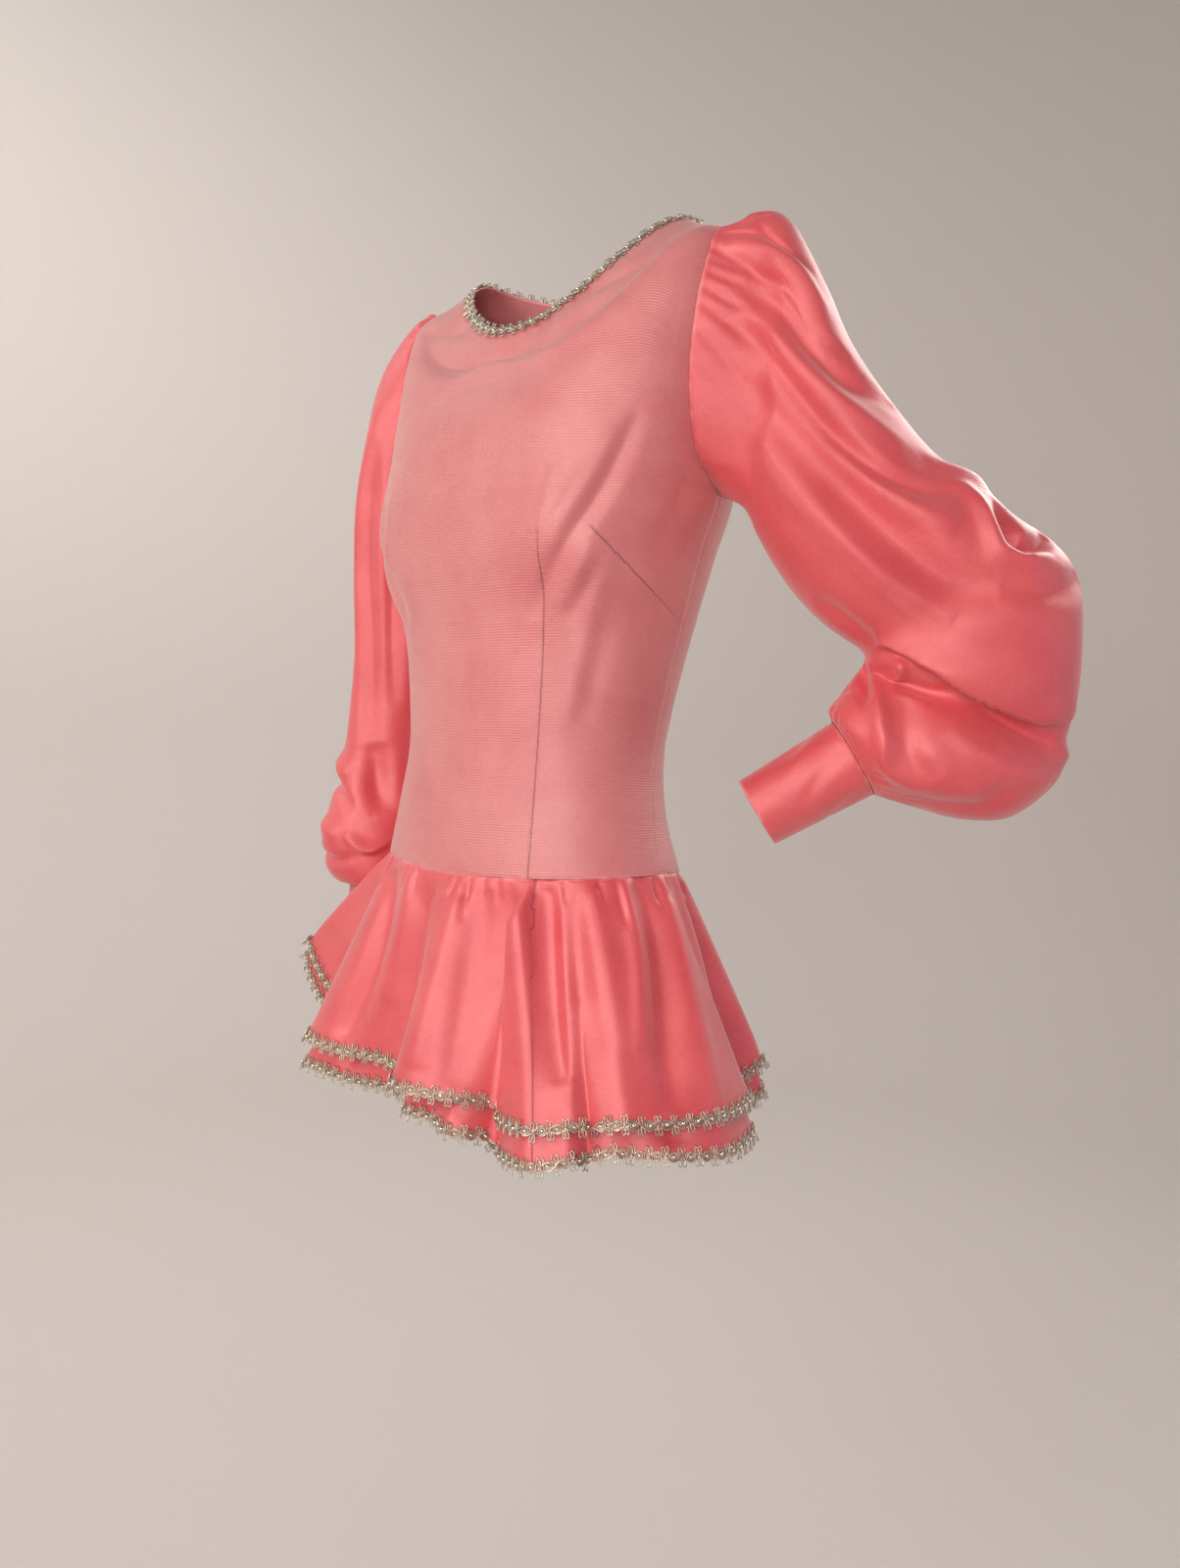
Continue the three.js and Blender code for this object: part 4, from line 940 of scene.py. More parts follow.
# Where the skirt's full lobes lap over one another: half width, reach, height, then (angle, share) of the fold's line.
LAPS = [
    (7.5, 13, 5, [(2.5, 0.0), (2, 0.22), (2.2, 0.5), (3.5, 0.75), (5, 1.0)]),
    (7.5, 15, 5, [(34.5, 0.0), (33.5, 0.2), (32, 0.5), (31, 0.75), (30.5, 1.0)]),
    (7, 10, 4.5, [(-58, 0.0), (-58, 0.5), (-60, 1.0)]),
    (7, 10, 4.5, [(-128, 0.0), (-129, 0.5), (-131, 1.0)]),
    (7, 10, 4.5, [(146, 0.0), (145, 0.5), (144, 1.0)]),
]
# How much further a lobe's hem is raised than its table says: angle, millimetres.
HEM_LIFTS = [(-20, 0), (-3, 3), (3, 8), (14, 8), (26, 8), (30, 5), (33.5, -4), (38, -7), (46, -4), (56, 0)]
# Each fold of both tiers: half width, height, lean, steep, then its path of (angle, share of the tier's length).
SKIRT_FOLDS = [
    (2.2, -1.5, 0, 1, [(39.5, 0.0), (40, 0.3), (40, 0.66), (40, 1.0)]),
    (11, -9, 0, 1, [(43.5, 0.02), (43.5, 0.15), (43.7, 0.42), (44.6, 0.66), (46, 0.84)]),
    (11, 4, 0, 1, [(53, 0.5), (54, 0.8), (55, 1.1)]),
    (12, 4, 0, 1, [(60, 0.04), (61, 0.3), (62, 0.7)]),
    (9, 5, 0, 1, [(73, 0.0), (74, 0.17), (72, 0.36), (67, 0.7)]),
    (14, -9, 0, 1, [(81, 0.03), (80, 0.3), (74, 0.66), (71, 0.96)]),
    (12, 5, 0, 1, [(92, 0.1), (90, 0.35), (87, 0.6), (84, 0.94)]),
    (10, -5, 0, 1, [(104, 0.03), (104, 0.3), (108, 0.55), (110, 0.9)]),
    (11, 5, 0, 1, [(-12, 0.05), (-10, 0.3), (-12, 0.7)]),
    (12, -9, 0, 1, [(-26, 0.06), (-21, 0.3), (-19, 0.6), (-20, 0.94)]),
    (12, 4, 0, 1, [(13, 0.1), (12, 0.4), (11, 0.85)]),
    (13, -6, 0, 1, [(22, 0.05), (21, 0.4), (20, 0.9)]),
    (11, -7, 0, 1, [(-44, 0.03), (-45, 0.4), (-46, 0.95)]),
    (12, 5, 0, 1, [(-76, 0.03), (-76, 0.4), (-76, 0.95)]), (11, -7, 0, 1, [(-92, 0.02), (-93, 0.5), (-94, 0.95)]),
    (11, -6, 0, 1, [(-108, 0.04), (-108, 0.5), (-107, 0.95)]), (12, 5, 0, 1, [(-118, 0.04), (-118, 0.5), (-118, 0.95)]),
    (12, 5, 0, 1, [(-153, 0.03), (-154, 0.5), (-155, 0.95)]), (12, -8, 0, 1, [(-172, 0.02), (-170, 0.5), (-169, 0.95)]),
    (12, 5, 0, 1, [(174, 0.03), (173, 0.5), (172, 0.95)]), (11, -7, 0, 1, [(157, 0.02), (158, 0.5), (158, 0.95)]),
    (12, 5, 0, 1, [(134, 0.03), (134, 0.5), (135, 0.95)]), (11, -7, 0, 1, [(121, 0.02), (121, 0.5), (122, 0.95)]),
]
# Pinches of the gathering at the hip seam: angle, how far down they run, half width, depth.
SKIRT_PINCHES = [
    (-9, 0.16, 3, 3), (10, 0.12, 2.6, 2.4), (15, 0.2, 3, 3.2), (20.5, 0.1, 2.4, 2), (26, 0.1, 2.6, 2),
    (50, 0.1, 2.6, 2), (63, 0.14, 3, 2.6), (70, 0.2, 3, 3), (89, 0.14, 3, 2.4), (97, 0.1, 2.6, 2), (112, 0.16, 3, 3),
    (128, 0.12, 3, 2.6), (139, 0.16, 3, 3), (152, 0.1, 3, 2.4), (165, 0.16, 3, 3), (178, 0.12, 3, 2.6), (-15, 0.12, 2.6, 2.4),
    (-33, 0.16, 3, 3), (-39, 0.1, 2.6, 2.4), (-51, 0.12, 3, 2.6), (-66, 0.18, 3, 3), (-83, 0.12, 3, 2.6), (-100, 0.16, 3, 3),
    (-113, 0.1, 3, 2.4), (-123, 0.16, 3, 3), (-138, 0.12, 3, 2.6), (-146, 0.16, 3, 3), (-162, 0.12, 3, 2.6),
]
TIER_ROWS, TIER_COLUMNS = 52, 480


def lap(points, normals, angles, shares, wide, reach, high, path):
    """Folds the cloth back under itself along a path, the lobe on the wearer's left lying on top."""
    line = curve([p[1] for p in path], [p[0] for p in path], shares)
    girth = np.hypot(points[..., 0], points[..., 1] - BODY_RINGS[0, 7])
    off = np.radians(turn_between(angles, line)) * girth / wide
    amount = off * np.exp((1 - off**2) / 2) * smooth(shares / 0.2)
    across = unit(np.roll(points, -1, 1) - np.roll(points, 1, 1))
    return points - across * (reach * amount * (0.7 + 0.6 * shares))[..., None] + normals * (high * amount)[..., None]


def tier_points(tier):
    angles = np.arange(TIER_COLUMNS)[None] * 360 / TIER_COLUMNS - 180
    shares = np.linspace(1, 0, TIER_ROWS)[:, None]
    points = skirt(tier, angles, shares)
    lift = np.interp(angles[0], [row[0] for row in HEM_LIFTS], [row[1] for row in HEM_LIFTS])
    points[..., 2] += lift[None] * smooth(shares)
    normals = surface_normals(points, True)

    def place(path):
        path = np.array(path, float)
        return skirt(tier, path[:, 0], path[:, 1])

    points = fold_all(points, normals, SKIRT_FOLDS, place, 0.25)
    for angle, down, wide, deep in SKIRT_PINCHES:
        path = place([(angle, 0.004), (angle, down / 2), (angle, down)])
        points = crease(points, normals, path, wide, -deep, fade=0.3)
    for wide, reach, high, path in LAPS:
        points = lap(points, normals, angles, shares, wide, reach, high, path)
    return points


def skirt_tier(name, tier, points, node):
    angles = np.arange(TIER_COLUMNS) * 360 / TIER_COLUMNS - 180
    normals = surface_normals(points, True)
    seam = None
    for angle in SKIRT_SEAMS:
        line = line_attribute(points, normals, skirt(tier, angle, np.linspace(0, 1, 12)))
        seam = line if seam is None else np.where(abs(turn_between(angles, angle))[None, :, None] < 30, line, seam)
    return cloth(name, points, True, SKIRT_KNIT, node, attributes={"side_seam": seam}, slot="satin_knit_skirt")


# ---- What repeats along a path ----
def path_points(name, line, normals, pitch, closed):
    """A mesh of points at an even pitch along a line, each with the line's direction and the cloth's."""
    line, normals = np.asarray(line), np.asarray(normals)
    if closed:
        line, normals = np.concatenate([line, line[:1]]), np.concatenate([normals, normals[:1]])
    length = np.concatenate([[0], np.cumsum(np.linalg.norm(np.diff(line, axis=0), axis=1))])
    count = max(2, round(length[-1] / pitch))
    places = (np.arange(count) + 0.5) / count * length[-1]
    spots = np.stack([np.interp(places, length, line[:, k]) for k in range(3)], -1)
    before = np.stack([np.interp(places - 1, length, line[:, k]) for k in range(3)], -1)
    after = np.stack([np.interp(places + 1, length, line[:, k]) for k in range(3)], -1)
    out = unit(np.stack([np.interp(places, length, normals[:, k]) for k in range(3)], -1))
    mesh = bpy.data.meshes.new(name)
    mesh.from_pydata((spots * MM).tolist(), [], [])
    for title, values in (("along", unit(after - before)), ("out", out)):
        data = mesh.attributes.new(title, "FLOAT_VECTOR", "POINT").data
        data.foreach_set("vector", values.ravel().astype(np.float32))
    return mesh


def made_by_nodes(name, mesh, tree, sizes, body_name=DRESS, node=None):
    """The tree's result on these points, as a plain mesh."""
    maker = bpy.data.objects.new(name + "_path", mesh)
    bpy.context.scene.collection.objects.link(maker)
    modifier = maker.modifiers.new("nodes", "NODES")
    modifier.node_group = tree
    for item in tree.interface.items_tree:
        if item.item_type == "SOCKET" and item.in_out == "INPUT" and item.name in sizes:
            modifier[item.identifier] = sizes[item.name]
    bpy.context.view_layer.update()
    made = bpy.data.meshes.new_from_object(maker.evaluated_get(bpy.context.evaluated_depsgraph_get()))
    made.name = name
    maker.modifiers.remove(modifier)
    bpy.data.objects.remove(maker)
    piece = bpy.data.objects.new(name, made)
    bpy.context.scene.collection.objects.link(piece)
    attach(piece, body_name)
    if node:
        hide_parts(node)
    return piece


def on_path(tree, path, motif, seed, wobble):
    """Sets the motif on every point: its X along the path and its Z out of the cloth."""
    along = add_node(tree, "GeometryNodeInputNamedAttribute", {"data_type": "FLOAT_VECTOR"}, Name="along").outputs[0]
    out = add_node(tree, "GeometryNodeInputNamedAttribute", {"data_type": "FLOAT_VECTOR"}, Name="out").outputs[0]
    turn = add_node(
        tree, "FunctionNodeAxesToRotation", {"primary_axis": "Z", "secondary_axis": "X"}, i0=out, i1=along
    ).outputs[0]
    low = add_node(tree, "ShaderNodeVectorMath", {"operation": "SCALE"}, i0=(-1.0, -1.0, -1.0), Scale=wobble).outputs[0]
    high = add_node(tree, "ShaderNodeVectorMath", {"operation": "SCALE"}, i0=(1.0, 1.0, 1.0), Scale=wobble).outputs[0]
    chance = add_node(tree, "FunctionNodeRandomValue", {"data_type": "FLOAT_VECTOR"}, Min=low, Max=high, Seed=seed)
    tilt = add_node(tree, "FunctionNodeEulerToRotation", i0=chance.outputs[0]).outputs[0]
    turn = add_node(tree, "FunctionNodeRotateRotation", {"rotation_space": "LOCAL"}, i0=turn, i1=tilt).outputs[0]
    placed = add_node(tree, "GeometryNodeInstanceOnPoints", Points=path, Instance=motif, Rotation=turn)
    return add_node(tree, "GeometryNodeRealizeInstances", Geometry=placed.outputs[0]).outputs[0]


def wire_loop(tree, wide, long, angle, shift, thread, sides=10):
    """A loop of thread, `long` by `wide`, standing from the middle at an angle, or round it if shift is 0."""
    ring = add_node(tree, "GeometryNodeCurvePrimitiveCircle", {"mode": "RADIUS"}, Resolution=sides, Radius=0.5).outputs[0]
    scale = add_node(tree, "ShaderNodeCombineXYZ", X=wide, Y=long, Z=1.0).outputs[0]
    move = add_node(tree, "ShaderNodeCombineXYZ", Y=shift).outputs[0]
    ring = add_node(tree, "GeometryNodeTransform", Geometry=ring, Translation=move, Scale=scale).outputs[0]
    turn = add_node(tree, "ShaderNodeCombineXYZ", Z=angle).outputs[0]
    ring = add_node(tree, "GeometryNodeTransform", Geometry=ring, Rotation=turn).outputs[0]
    return tube(tree, ring, thread)


def tube(tree, line, thread, sides=3):
    profile = add_node(
        tree, "GeometryNodeCurvePrimitiveCircle", {"mode": "RADIUS"}, Resolution=sides, Radius=thread
    ).outputs[0]
    return add_node(tree, "GeometryNodeCurveToMesh", Curve=line, Profile_Curve=profile).outputs[0]


def joined(tree, parts):
    join = tree.nodes.new("GeometryNodeJoinGeometry")
    for part in parts:
        tree.links.new(part, join.inputs[0])
    return join.outputs[0]


def braid_tree():
    """One repeat of the braid: a rosette of thread round a bead, and slim loops standing both ways beside it."""
    tree, given, out = new_group(
        "looped_braid", "GeometryNodeTree",
        [
            ("Path", SHAPE, None), ("Thread", FLOAT, 0.00047), ("Rosette", FLOAT, 0.0068), ("Loop Length", FLOAT, 0.0068),
            ("Loop Width", FLOAT, 0.0026), ("Splay", FLOAT, 0.26), ("Bead", FLOAT, 0.0015), ("Pitch", FLOAT, 0.011),
            ("Wobble", FLOAT, 0.09), ("Seed", "NodeSocketInt", 3), ("Thread Finish", "NodeSocketMaterial", None),
            ("Bead Finish", "NodeSocketMaterial", None),
        ],
        [("Braid", SHAPE)],
    )
    thread, half = given["Thread"], sums(tree, "MULTIPLY", given["Loop Length"], 0.5)
    parts = []
    rosette = given["Rosette"]
    for share in (1.0, 0.62):
        size = sums(tree, "MULTIPLY", rosette, share)
        parts.append(wire_loop(tree, size, size, 0.0, 0.0, thread, 12))
    aside = sums(tree, "MULTIPLY", given["Pitch"], 0.5)
    for sign in (1, -1):
        for lean in (1, -1):
            angle = sums(tree, "MULTIPLY", given["Splay"], float(lean))
            angle = sums(tree, "ADD", angle, 0.0 if sign > 0 else math.pi)
            loop = wire_loop(tree, given["Loop Width"], given["Loop Length"], angle, half, thread)
            move = add_node(tree, "ShaderNodeCombineXYZ", X=aside, Z=0.0003 * lean).outputs[0]
            parts.append(add_node(tree, "GeometryNodeTransform", Geometry=loop, Translation=move).outputs[0])
        back = sums(tree, "MULTIPLY", aside, -1.0)
        bow = sums(tree, "MULTIPLY", rosette, 0.8 * sign)
        places = ((back, 0.0), (0.0, bow), (aside, 0.0))
        ends = [add_node(tree, "ShaderNodeCombineXYZ", X=x, Y=y).outputs[0] for x, y in places]
        strand = add_node(tree, "GeometryNodeCurveQuadraticBezier", Resolution=8, Start=ends[0], Middle=ends[1], End=ends[2])
        parts.append(tube(tree, strand.outputs[0], thread))
    threads = add_node(
        tree, "GeometryNodeSetMaterial", Geometry=joined(tree, parts), Material=given["Thread Finish"]
    ).outputs[0]
    bead = add_node(tree, "GeometryNodeMeshIcoSphere", Radius=given["Bead"], Subdivisions=2).outputs[0]
    lift = add_node(tree, "ShaderNodeCombineXYZ", Z=thread).outputs[0]
    bead = add_node(tree, "GeometryNodeTransform", Geometry=bead, Translation=lift).outputs[0]
    flagged = add_node(
        tree, "GeometryNodeStoreNamedAttribute", {"data_type": "BOOLEAN", "domain": "FACE"},
        Geometry=bead, Name="bead", Value=True,
    ).outputs[0]
    motif = joined(tree, [threads, flagged])
    placed = on_path(tree, given["Path"], motif, given["Seed"], given["Wobble"])
    smooth_shade = add_node(tree, "GeometryNodeSetShadeSmooth", Geometry=placed).outputs[0]
    is_bead = add_node(tree, "GeometryNodeInputNamedAttribute", {"data_type": "BOOLEAN"}, Name="bead").outputs[0]
    done = add_node(
        tree, "GeometryNodeSetMaterial", Geometry=smooth_shade, Selection=is_bead, Material=given["Bead Finish"]
    ).outputs[0]
    tree.links.new(done, out["Braid"])
    return tree


def stitch_tree():
    """A row of stitches, each a short rounded thread pressed into the cloth."""
    tree, given, out = new_group(
        "stitches", "GeometryNodeTree",
        [
            ("Path", SHAPE, None), ("Length", FLOAT, 0.0021), ("Thickness", FLOAT, 0.0004), ("Wobble", FLOAT, 0.05),
            ("Seed", "NodeSocketInt", 5), ("Finish", "NodeSocketMaterial", None),
        ],
        [("Stitches", SHAPE)],
    )
    ball = add_node(tree, "GeometryNodeMeshUVSphere", Segments=6, Rings=4, Radius=0.5).outputs[0]
    size = add_node(tree, "ShaderNodeCombineXYZ", X=given["Length"], Y=given["Thickness"], Z=given["Thickness"]).outputs[0]
    ball = add_node(tree, "GeometryNodeTransform", Geometry=ball, Scale=size).outputs[0]
    placed = on_path(tree, given["Path"], ball, given["Seed"], given["Wobble"])
    shaded = add_node(tree, "GeometryNodeSetShadeSmooth", Geometry=placed).outputs[0]
    done = add_node(tree, "GeometryNodeSetMaterial", Geometry=shaded, Material=given["Finish"]).outputs[0]
    tree.links.new(done, out["Stitches"])
    return tree


def tooth_tree():
    """Two rows of zip teeth that mesh along the path."""
    tree, given, out = new_group(
        "zip_teeth", "GeometryNodeTree",
        [
            ("Path", SHAPE, None), ("Tooth Length", FLOAT, 0.0021), ("Tooth Width", FLOAT, 0.0007), ("Offset", FLOAT, 0.0007),
            ("Pitch", FLOAT, 0.0018), ("Wobble", FLOAT, 0.0), ("Seed", "NodeSocketInt", 1),
            ("Finish", "NodeSocketMaterial", None),
        ],
        [("Teeth", SHAPE)],
    )
    parts = []
    for side in (1, -1):
        rod = add_node(tree, "GeometryNodeMeshUVSphere", Segments=6, Rings=4, Radius=0.5).outputs[0]
        size = add_node(
            tree, "ShaderNodeCombineXYZ", X=given["Tooth Width"], Y=given["Tooth Length"], Z=given["Tooth Width"]
        ).outputs[0]
        move = add_node(
            tree, "ShaderNodeCombineXYZ", X=sums(tree, "MULTIPLY", given["Pitch"], 0.25 * side),
            Y=sums(tree, "MULTIPLY", given["Offset"], float(side)),
        ).outputs[0]
        parts.append(add_node(tree, "GeometryNodeTransform", Geometry=rod, Translation=move, Scale=size).outputs[0])
    placed = on_path(tree, given["Path"], joined(tree, parts), given["Seed"], given["Wobble"])
    shaded = add_node(tree, "GeometryNodeSetShadeSmooth", Geometry=placed).outputs[0]
    done = add_node(tree, "GeometryNodeSetMaterial", Geometry=shaded, Material=given["Finish"]).outputs[0]
    tree.links.new(done, out["Teeth"])
    return tree


BRAID, STITCHES, TEETH = braid_tree(), stitch_tree(), tooth_tree()
BRAID_MID = 2  # millimetres from the cloth's edge to the middle of the braid
BRAID_OUT = 1.3  # from the cloth to the middle of the threads
BRAID_PITCH = 11.5
BRAID_SIZES = {"Pitch": BRAID_PITCH * MM, "Thread Finish": SILVER_THREAD, "Bead Finish": SILVER_BEAD}


def tier_line(tier, points, edge, out):
    """Points and outward directions round a tier, `edge` millimetres above its hem."""
    row = edge / tier[0] * (TIER_ROWS - 1)
    normals = surface_normals(points, True)
    line = points[0] + (points[1] - points[0]) * row if row < 1 else points[int(row)]
    out_normals = normals[min(int(row) + 1, TIER_ROWS - 1)]
    return line + out_normals * out, out_normals


def hem_braid(name, tier, points, node):
    line, normals = tier_line(tier, points, BRAID_MID, BRAID_OUT)
    mesh = path_points(name, line, normals, BRAID_PITCH, True)
    return made_by_nodes(name, mesh, BRAID, BRAID_SIZES, node=node)


HEM_STITCH_PITCH = 3
HEM_STITCH_ROWS = (12, 16)  # above the hem, on the inside


def hem_stitches(name, tier, points, edge):
    line, normals = tier_line(tier, points, edge, -CLOTH)
    mesh = path_points(name, line, -normals, HEM_STITCH_PITCH, True)
    return made_by_nodes(name, mesh, STITCHES, {"Finish": SEWING_THREAD})


def neck_braid():
    angles = np.linspace(-176, 176, 700)
    up = 1 - BRAID_MID / 340
    normals = body_normal(angles, up)
    mesh = path_points("braid_neck", body(angles, up) + normals * BRAID_OUT, normals, BRAID_PITCH, False)
    return made_by_nodes("neck_braid_loops", mesh, BRAID, BRAID_SIZES, node="braid_neck")


# ---- Zip ----
ZIP_HALF_OPENING = 1.8
SLIDER_UP = 0.952
PIN_UP, PIN_OUT = 2.2, 4.3  # where the pull's pin stands in the slider's frame
TAB_LOW, TAB_HIGH = 3.7, 4.9  # the pull's flat, out of the cloth


def slider_frame():
    """The slider's own frame: across, up along the zip and out of the cloth, with where it stands (mm)."""
    rise = unit(body(180.0, SLIDER_UP + 0.01) - body(180.0, SLIDER_UP - 0.01))
    across = np.array([-1.0, 0, 0])
    return np.stack([across, rise, np.cross(across, rise)]), body(180.0, SLIDER_UP)


def slab(outline, low, high, rounding):
    """A plate between two heights with rounded edges: corners and faces."""
    outline = np.array(outline, float)
    middle, reach = outline.mean(0), abs(outline - outline.mean(0)).max(0).min()
    turns = np.radians([0, 30, 60, 90])
    levels = [(rounding * (1 - math.sin(a)), low + rounding * (1 - math.cos(a))) for a in turns]
    levels += [(inset, high - (z - low)) for inset, z in levels[::-1]]
    rings = [
        np.column_stack([middle + (outline - middle) * (1 - inset / reach), np.full(len(outline), z)])
        for inset, z in levels
    ]
    count = len(outline)
    faces = [tuple(range(count))[::-1], tuple(range((len(rings) - 1) * count, len(rings) * count))]
    for j in range(len(rings) - 1):
        this, above = j * count, (j + 1) * count
        faces += [(this + i, this + (i + 1) % count, above + (i + 1) % count, above + i) for i in range(count)]
    return np.concatenate(rings), faces


def oval(wide, tall, up, power=4.0, taper=0.0, count=40):
    """A rounded outline; with a taper its lower end is the wider one."""
    turn = np.arange(count) * math.tau / count
    s, c = np.sin(turn), np.cos(turn)
    y = np.sign(s) * abs(s) ** (2 / power)
    x = np.sign(c) * abs(c) ** (2 / power) * (1 - taper * (1 + y) / 2)
    return np.column_stack([x * wide / 2, y * tall / 2 + up])


def ring_across(outer, inner, width, up, out, count=28):
    """A short tube across the zip, or a pin where the inner radius is 0."""
    half, rounding = width / 2, 0.25
    profile = [
        (-half, outer - rounding), (-half + rounding, outer), (half - rounding, outer),
        (half, outer - rounding), (half, inner), (-half, inner),
    ]
    corners, size = [], len(profile)
    for k in range(count):
        turn = k * math.tau / count
        corners += [(x, up + r * math.cos(turn), out + r * math.sin(turn)) for x, r in profile]
    faces = [
        (k * size + i, k * size + (i + 1) % size, (k + 1) % count * size + (i + 1) % size, (k + 1) % count * size + i)
        for k in range(count) for i in range(size)
    ]
    return np.array(corners), faces


def hard_piece(name, parts, body_name, node):
    axes, here = slider_frame()
    corners, faces = [], []
    for part_corners, part_faces in parts:
        faces += [tuple(len(corners) + i for i in face) for face in part_faces]
        corners += (here + part_corners @ axes).tolist()
    mesh = bpy.data.meshes.new(name)
    mesh.from_pydata((np.array(corners) * MM).tolist(), [], faces)
    tidy = bmesh.new()
    tidy.from_mesh(mesh)
    bmesh.ops.recalc_face_normals(tidy, faces=tidy.faces)
    tidy.to_mesh(mesh)
    tidy.free()
    mesh.materials.append(ZIP_ENAMEL)
    piece = bpy.data.objects.new(name, mesh)
    bpy.context.scene.collection.objects.link(piece)
    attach(piece, body_name)
    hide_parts(node)


def zip_slider():
    ears = []
    for side in (1, -1):
        corners, faces = slab(oval(4, 5.2, 3.3, 2.6), -0.65, 0.65, 0.3)
        ears.append((np.column_stack([corners[:, 2] + side * 2.55, corners[:, 0] + PIN_UP, corners[:, 1]]), faces))
    pin = ring_across(0.7, 0.0, 6.2, PIN_UP, PIN_OUT)
    hard_piece("zip_slider_body", [slab(oval(6, 10, 0, 3.4, -0.25), 0.3, 2.1, 0.6), *ears, pin], DRESS, "zip_slider")


def zip_pull():
    eye = ring_across(1.9, 1.0, 3.2, PIN_UP, PIN_OUT)
    stem = slab(oval(3.2, 5.4, -2.4, 5), TAB_LOW, TAB_HIGH, 0.3)
    blade = slab(oval(6, 17.8, -12.9, 4.5, 0.3), TAB_LOW, TAB_HIGH, 0.45)
    raised = slab(oval(3.2, 12, -13.2, 3, 0.3), 3.6, 5.0, 0.15)
    hard_piece("zip_pull_tab", [eye, stem, blade, raised], PULL, "zip_pull")


def zip_topstitch():
    """A row of stitches down each side of the zip."""
    ups = np.linspace(0.02, 0.975, 400)
    for side, word in ((1, "left"), (-1, "right")):
        angles = side * back_angle(7.5, ups)
        normals = body_normal(angles, ups)
        mesh = path_points("topstitch", body(angles, ups) + normals * 0.1, normals, 2.8, False)
        made_by_nodes(f"zip_topstitch_{word}", mesh, STITCHES, {"Finish": SEWING_THREAD})


def zip_teeth():
    ups = np.linspace(0.055, 0.94, 300)
    normals = body_normal(180.0, ups)
    mesh = path_points("teeth", body(180.0, ups) - normals * 1.3, normals, 1.8, False)
    return made_by_nodes("zip_teeth", mesh, TEETH, {"Finish": ZIP_ENAMEL})


# ---- Assembly ----
bodice_front()
bodice_back("bodice_back_left_knit", "bodice_back_left", 1)
bodice_back("bodice_back_right_knit", "bodice_back_right", -1)
sleeve("sleeve_left_knit", LEFT_ARM, LEFT_RINGS, LEFT_FOLDS, 11, 200, "sleeve_left")
sleeve("sleeve_right_knit", RIGHT_ARM, RIGHT_RINGS, RIGHT_FOLDS, 14, 184, "sleeve_right")
cuff("cuff_left_knit", LEFT_ARM, LEFT_CUFF, "cuff_left")
cuff("cuff_right_knit", RIGHT_ARM, RIGHT_CUFF, "cuff_right")
for tier, word in ((UPPER_TIER, "upper"), (LOWER_TIER, "lower")):
    hung = tier_points(tier)
    skirt_tier(f"skirt_{word}_knit", tier, hung, f"skirt_{word}")
    hem_braid(f"{word}_hem_braid_loops", tier, hung, f"braid_{word}_hem")
    hem_stitches(f"{word}_hem_stitches", tier, hung, HEM_STITCH_ROWS[0])
    hem_stitches(f"{word}_hem_stitches_above", tier, hung, HEM_STITCH_ROWS[1])
neck_braid()
zip_teeth()
zip_topstitch()
zip_slider()
zip_pull()
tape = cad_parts["zip_tape"]
tape.data.materials.clear()
tape.data.materials.append(ZIP_TAPE)


# ---- Studio ----
FLOOR_FLAT, FLOOR_BEND, WALL_TOP = 2.2, 1.0, 4.6
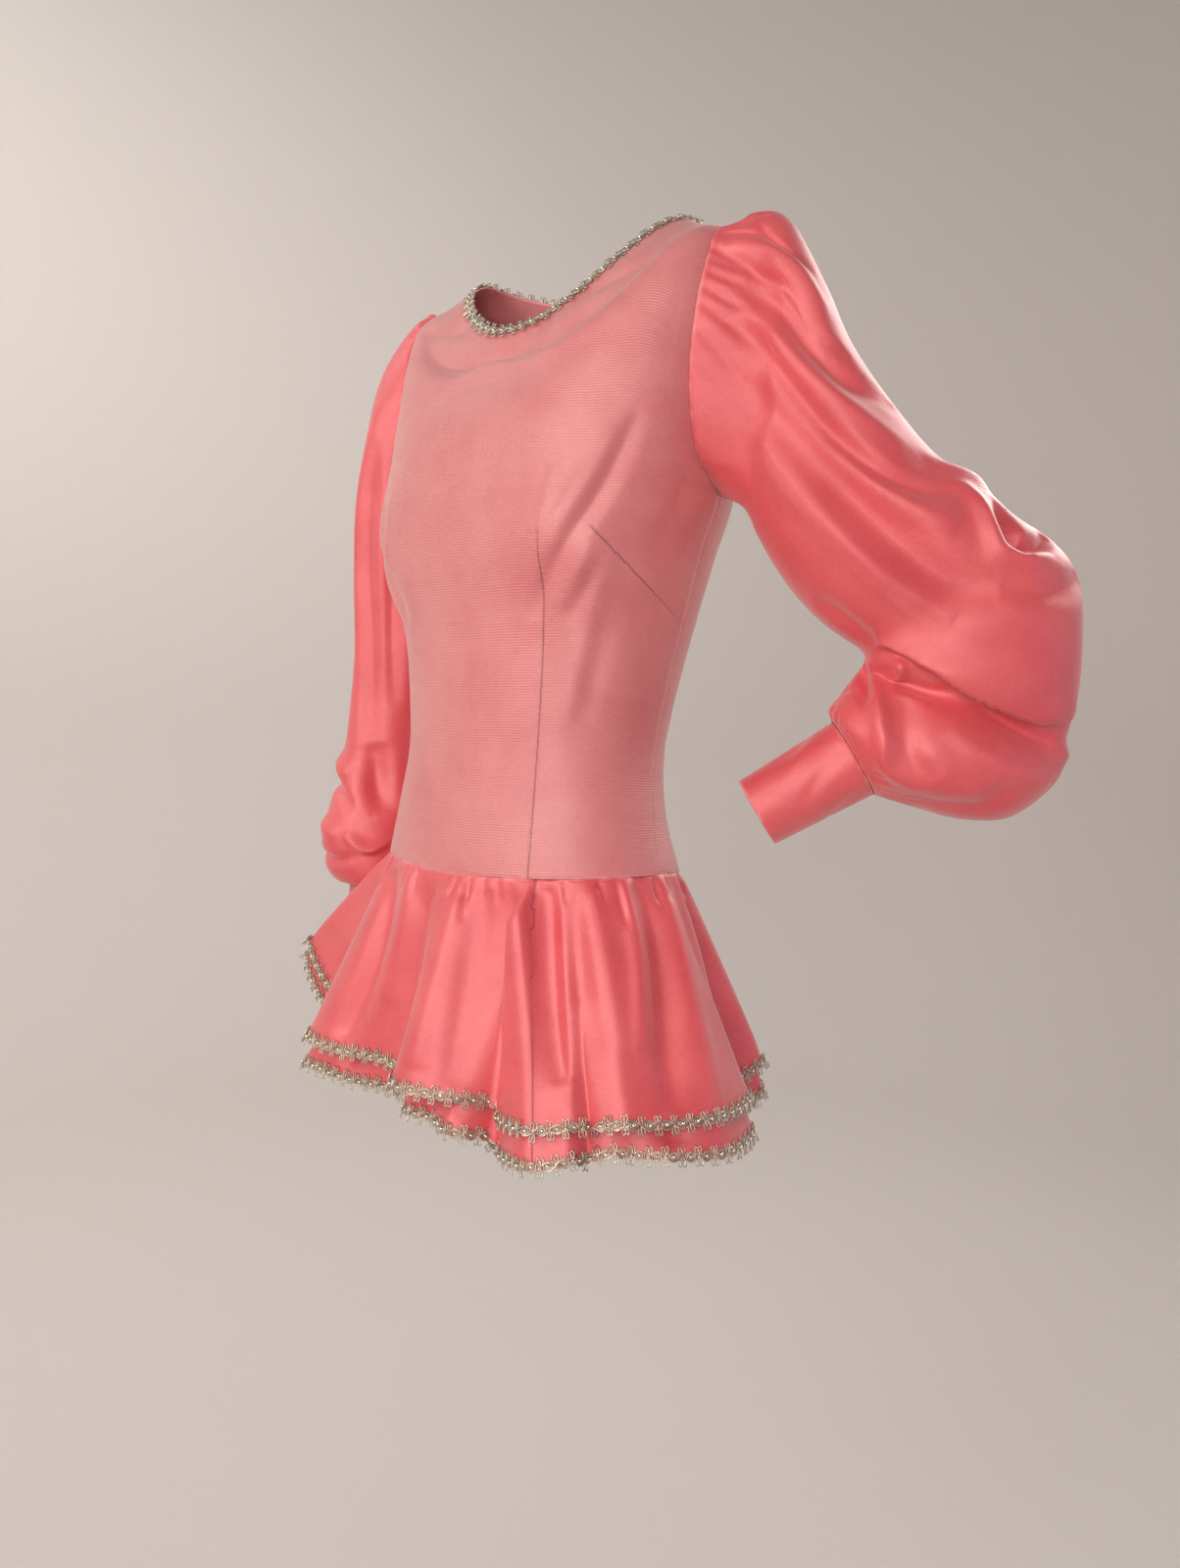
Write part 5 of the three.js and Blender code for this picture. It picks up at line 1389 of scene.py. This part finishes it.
# Each lamp: name, where it is, what it faces, size, power, colour.
LAMPS = [
    ("key", (-0.05, -1.85, 0.4), (0, 0, -0.35), 0.9, 17.5, (1.0, 0.97, 0.93)),
    ("lustre", (-1.45, -1.4, -0.1), (0, 0, -0.35), 0.9, 1.8, (1.0, 0.97, 0.94)),
    ("front", (1.15, -1.5, -0.1), (0.1, 0, -0.35), 0.8, 15, (1.0, 0.97, 0.95)),
    ("wall", (-1.2, -0.7, 1.4), (-3.1, 0.9, 0.3), 0.9, 44, (1.0, 0.97, 0.92)),
    ("side", (2.0, 0.7, -0.4), (0, 0, -0.35), 1.8, 5, (0.74, 0.64, 1.0)),
    ("back", (0.3, 2.1, 0.9), (0, 0, -0.35), 1.0, 20, (1.0, 0.97, 0.94)),
]


def studio():
    """A pale round floor that curves up into a wall, and soft lamps."""
    profile = [(0.0, FLOOR_Z), (2.0, FLOOR_Z)]
    for k in range(1, 13):
        turn = math.radians(90 * k / 12)
        profile.append((FLOOR_FLAT + FLOOR_BEND * math.sin(turn), FLOOR_Z + FLOOR_BEND * (1 - math.cos(turn))))
    profile.append((FLOOR_FLAT + FLOOR_BEND, FLOOR_Z + WALL_TOP))
    rows = [
        [(r * math.cos(math.radians(a)), r * math.sin(math.radians(a)), z) for a in range(0, 360, 5)]
        for r, z in profile[1:]
    ]
    corners = [(0, 0, FLOOR_Z)] + [p for row in rows for p in row]
    count = len(rows[0])
    faces = [(0, 1 + i, 1 + (i + 1) % count) for i in range(count)]
    for j in range(len(rows) - 1):
        for i in range(count):
            a, b = 1 + j * count + i, 1 + j * count + (i + 1) % count
            faces.append((a, a + count, b + count, b))
    mesh = bpy.data.meshes.new("studio_floor")
    mesh.from_pydata(corners, [], faces)
    mesh.polygons.foreach_set("use_smooth", [True] * len(faces))
    floor = bpy.data.objects.new("studio_floor", mesh)
    bpy.context.scene.collection.objects.link(floor)
    material, _, _ = new_material("pale_floor", Base_Color=rgb(214, 208, 204), Roughness=0.9)
    mesh.materials.append(material)
    for name, at, to, size, power, colour in LAMPS:
        data = bpy.data.lights.new(name, "AREA")
        data.shape, data.size, data.energy, data.color = "SQUARE", size, power, colour
        lamp = bpy.data.objects.new(name, data)
        facing = (Vector(to) - Vector(at)).to_track_quat("-Z", "Y").to_matrix().to_4x4()
        lamp.matrix_world = Matrix.Translation(at) @ facing
        bpy.context.scene.collection.objects.link(lamp)
    bpy.context.scene.view_settings.view_transform = "Standard"
    world = bpy.data.worlds.new("studio")
    bpy.context.scene.world = world
    world.use_nodes = True
    world.node_tree.nodes["Background"].inputs["Color"].default_value = (0.93, 0.9, 0.86, 1)
    world.node_tree.nodes["Background"].inputs["Strength"].default_value = 0.2


set_camera()
studio()
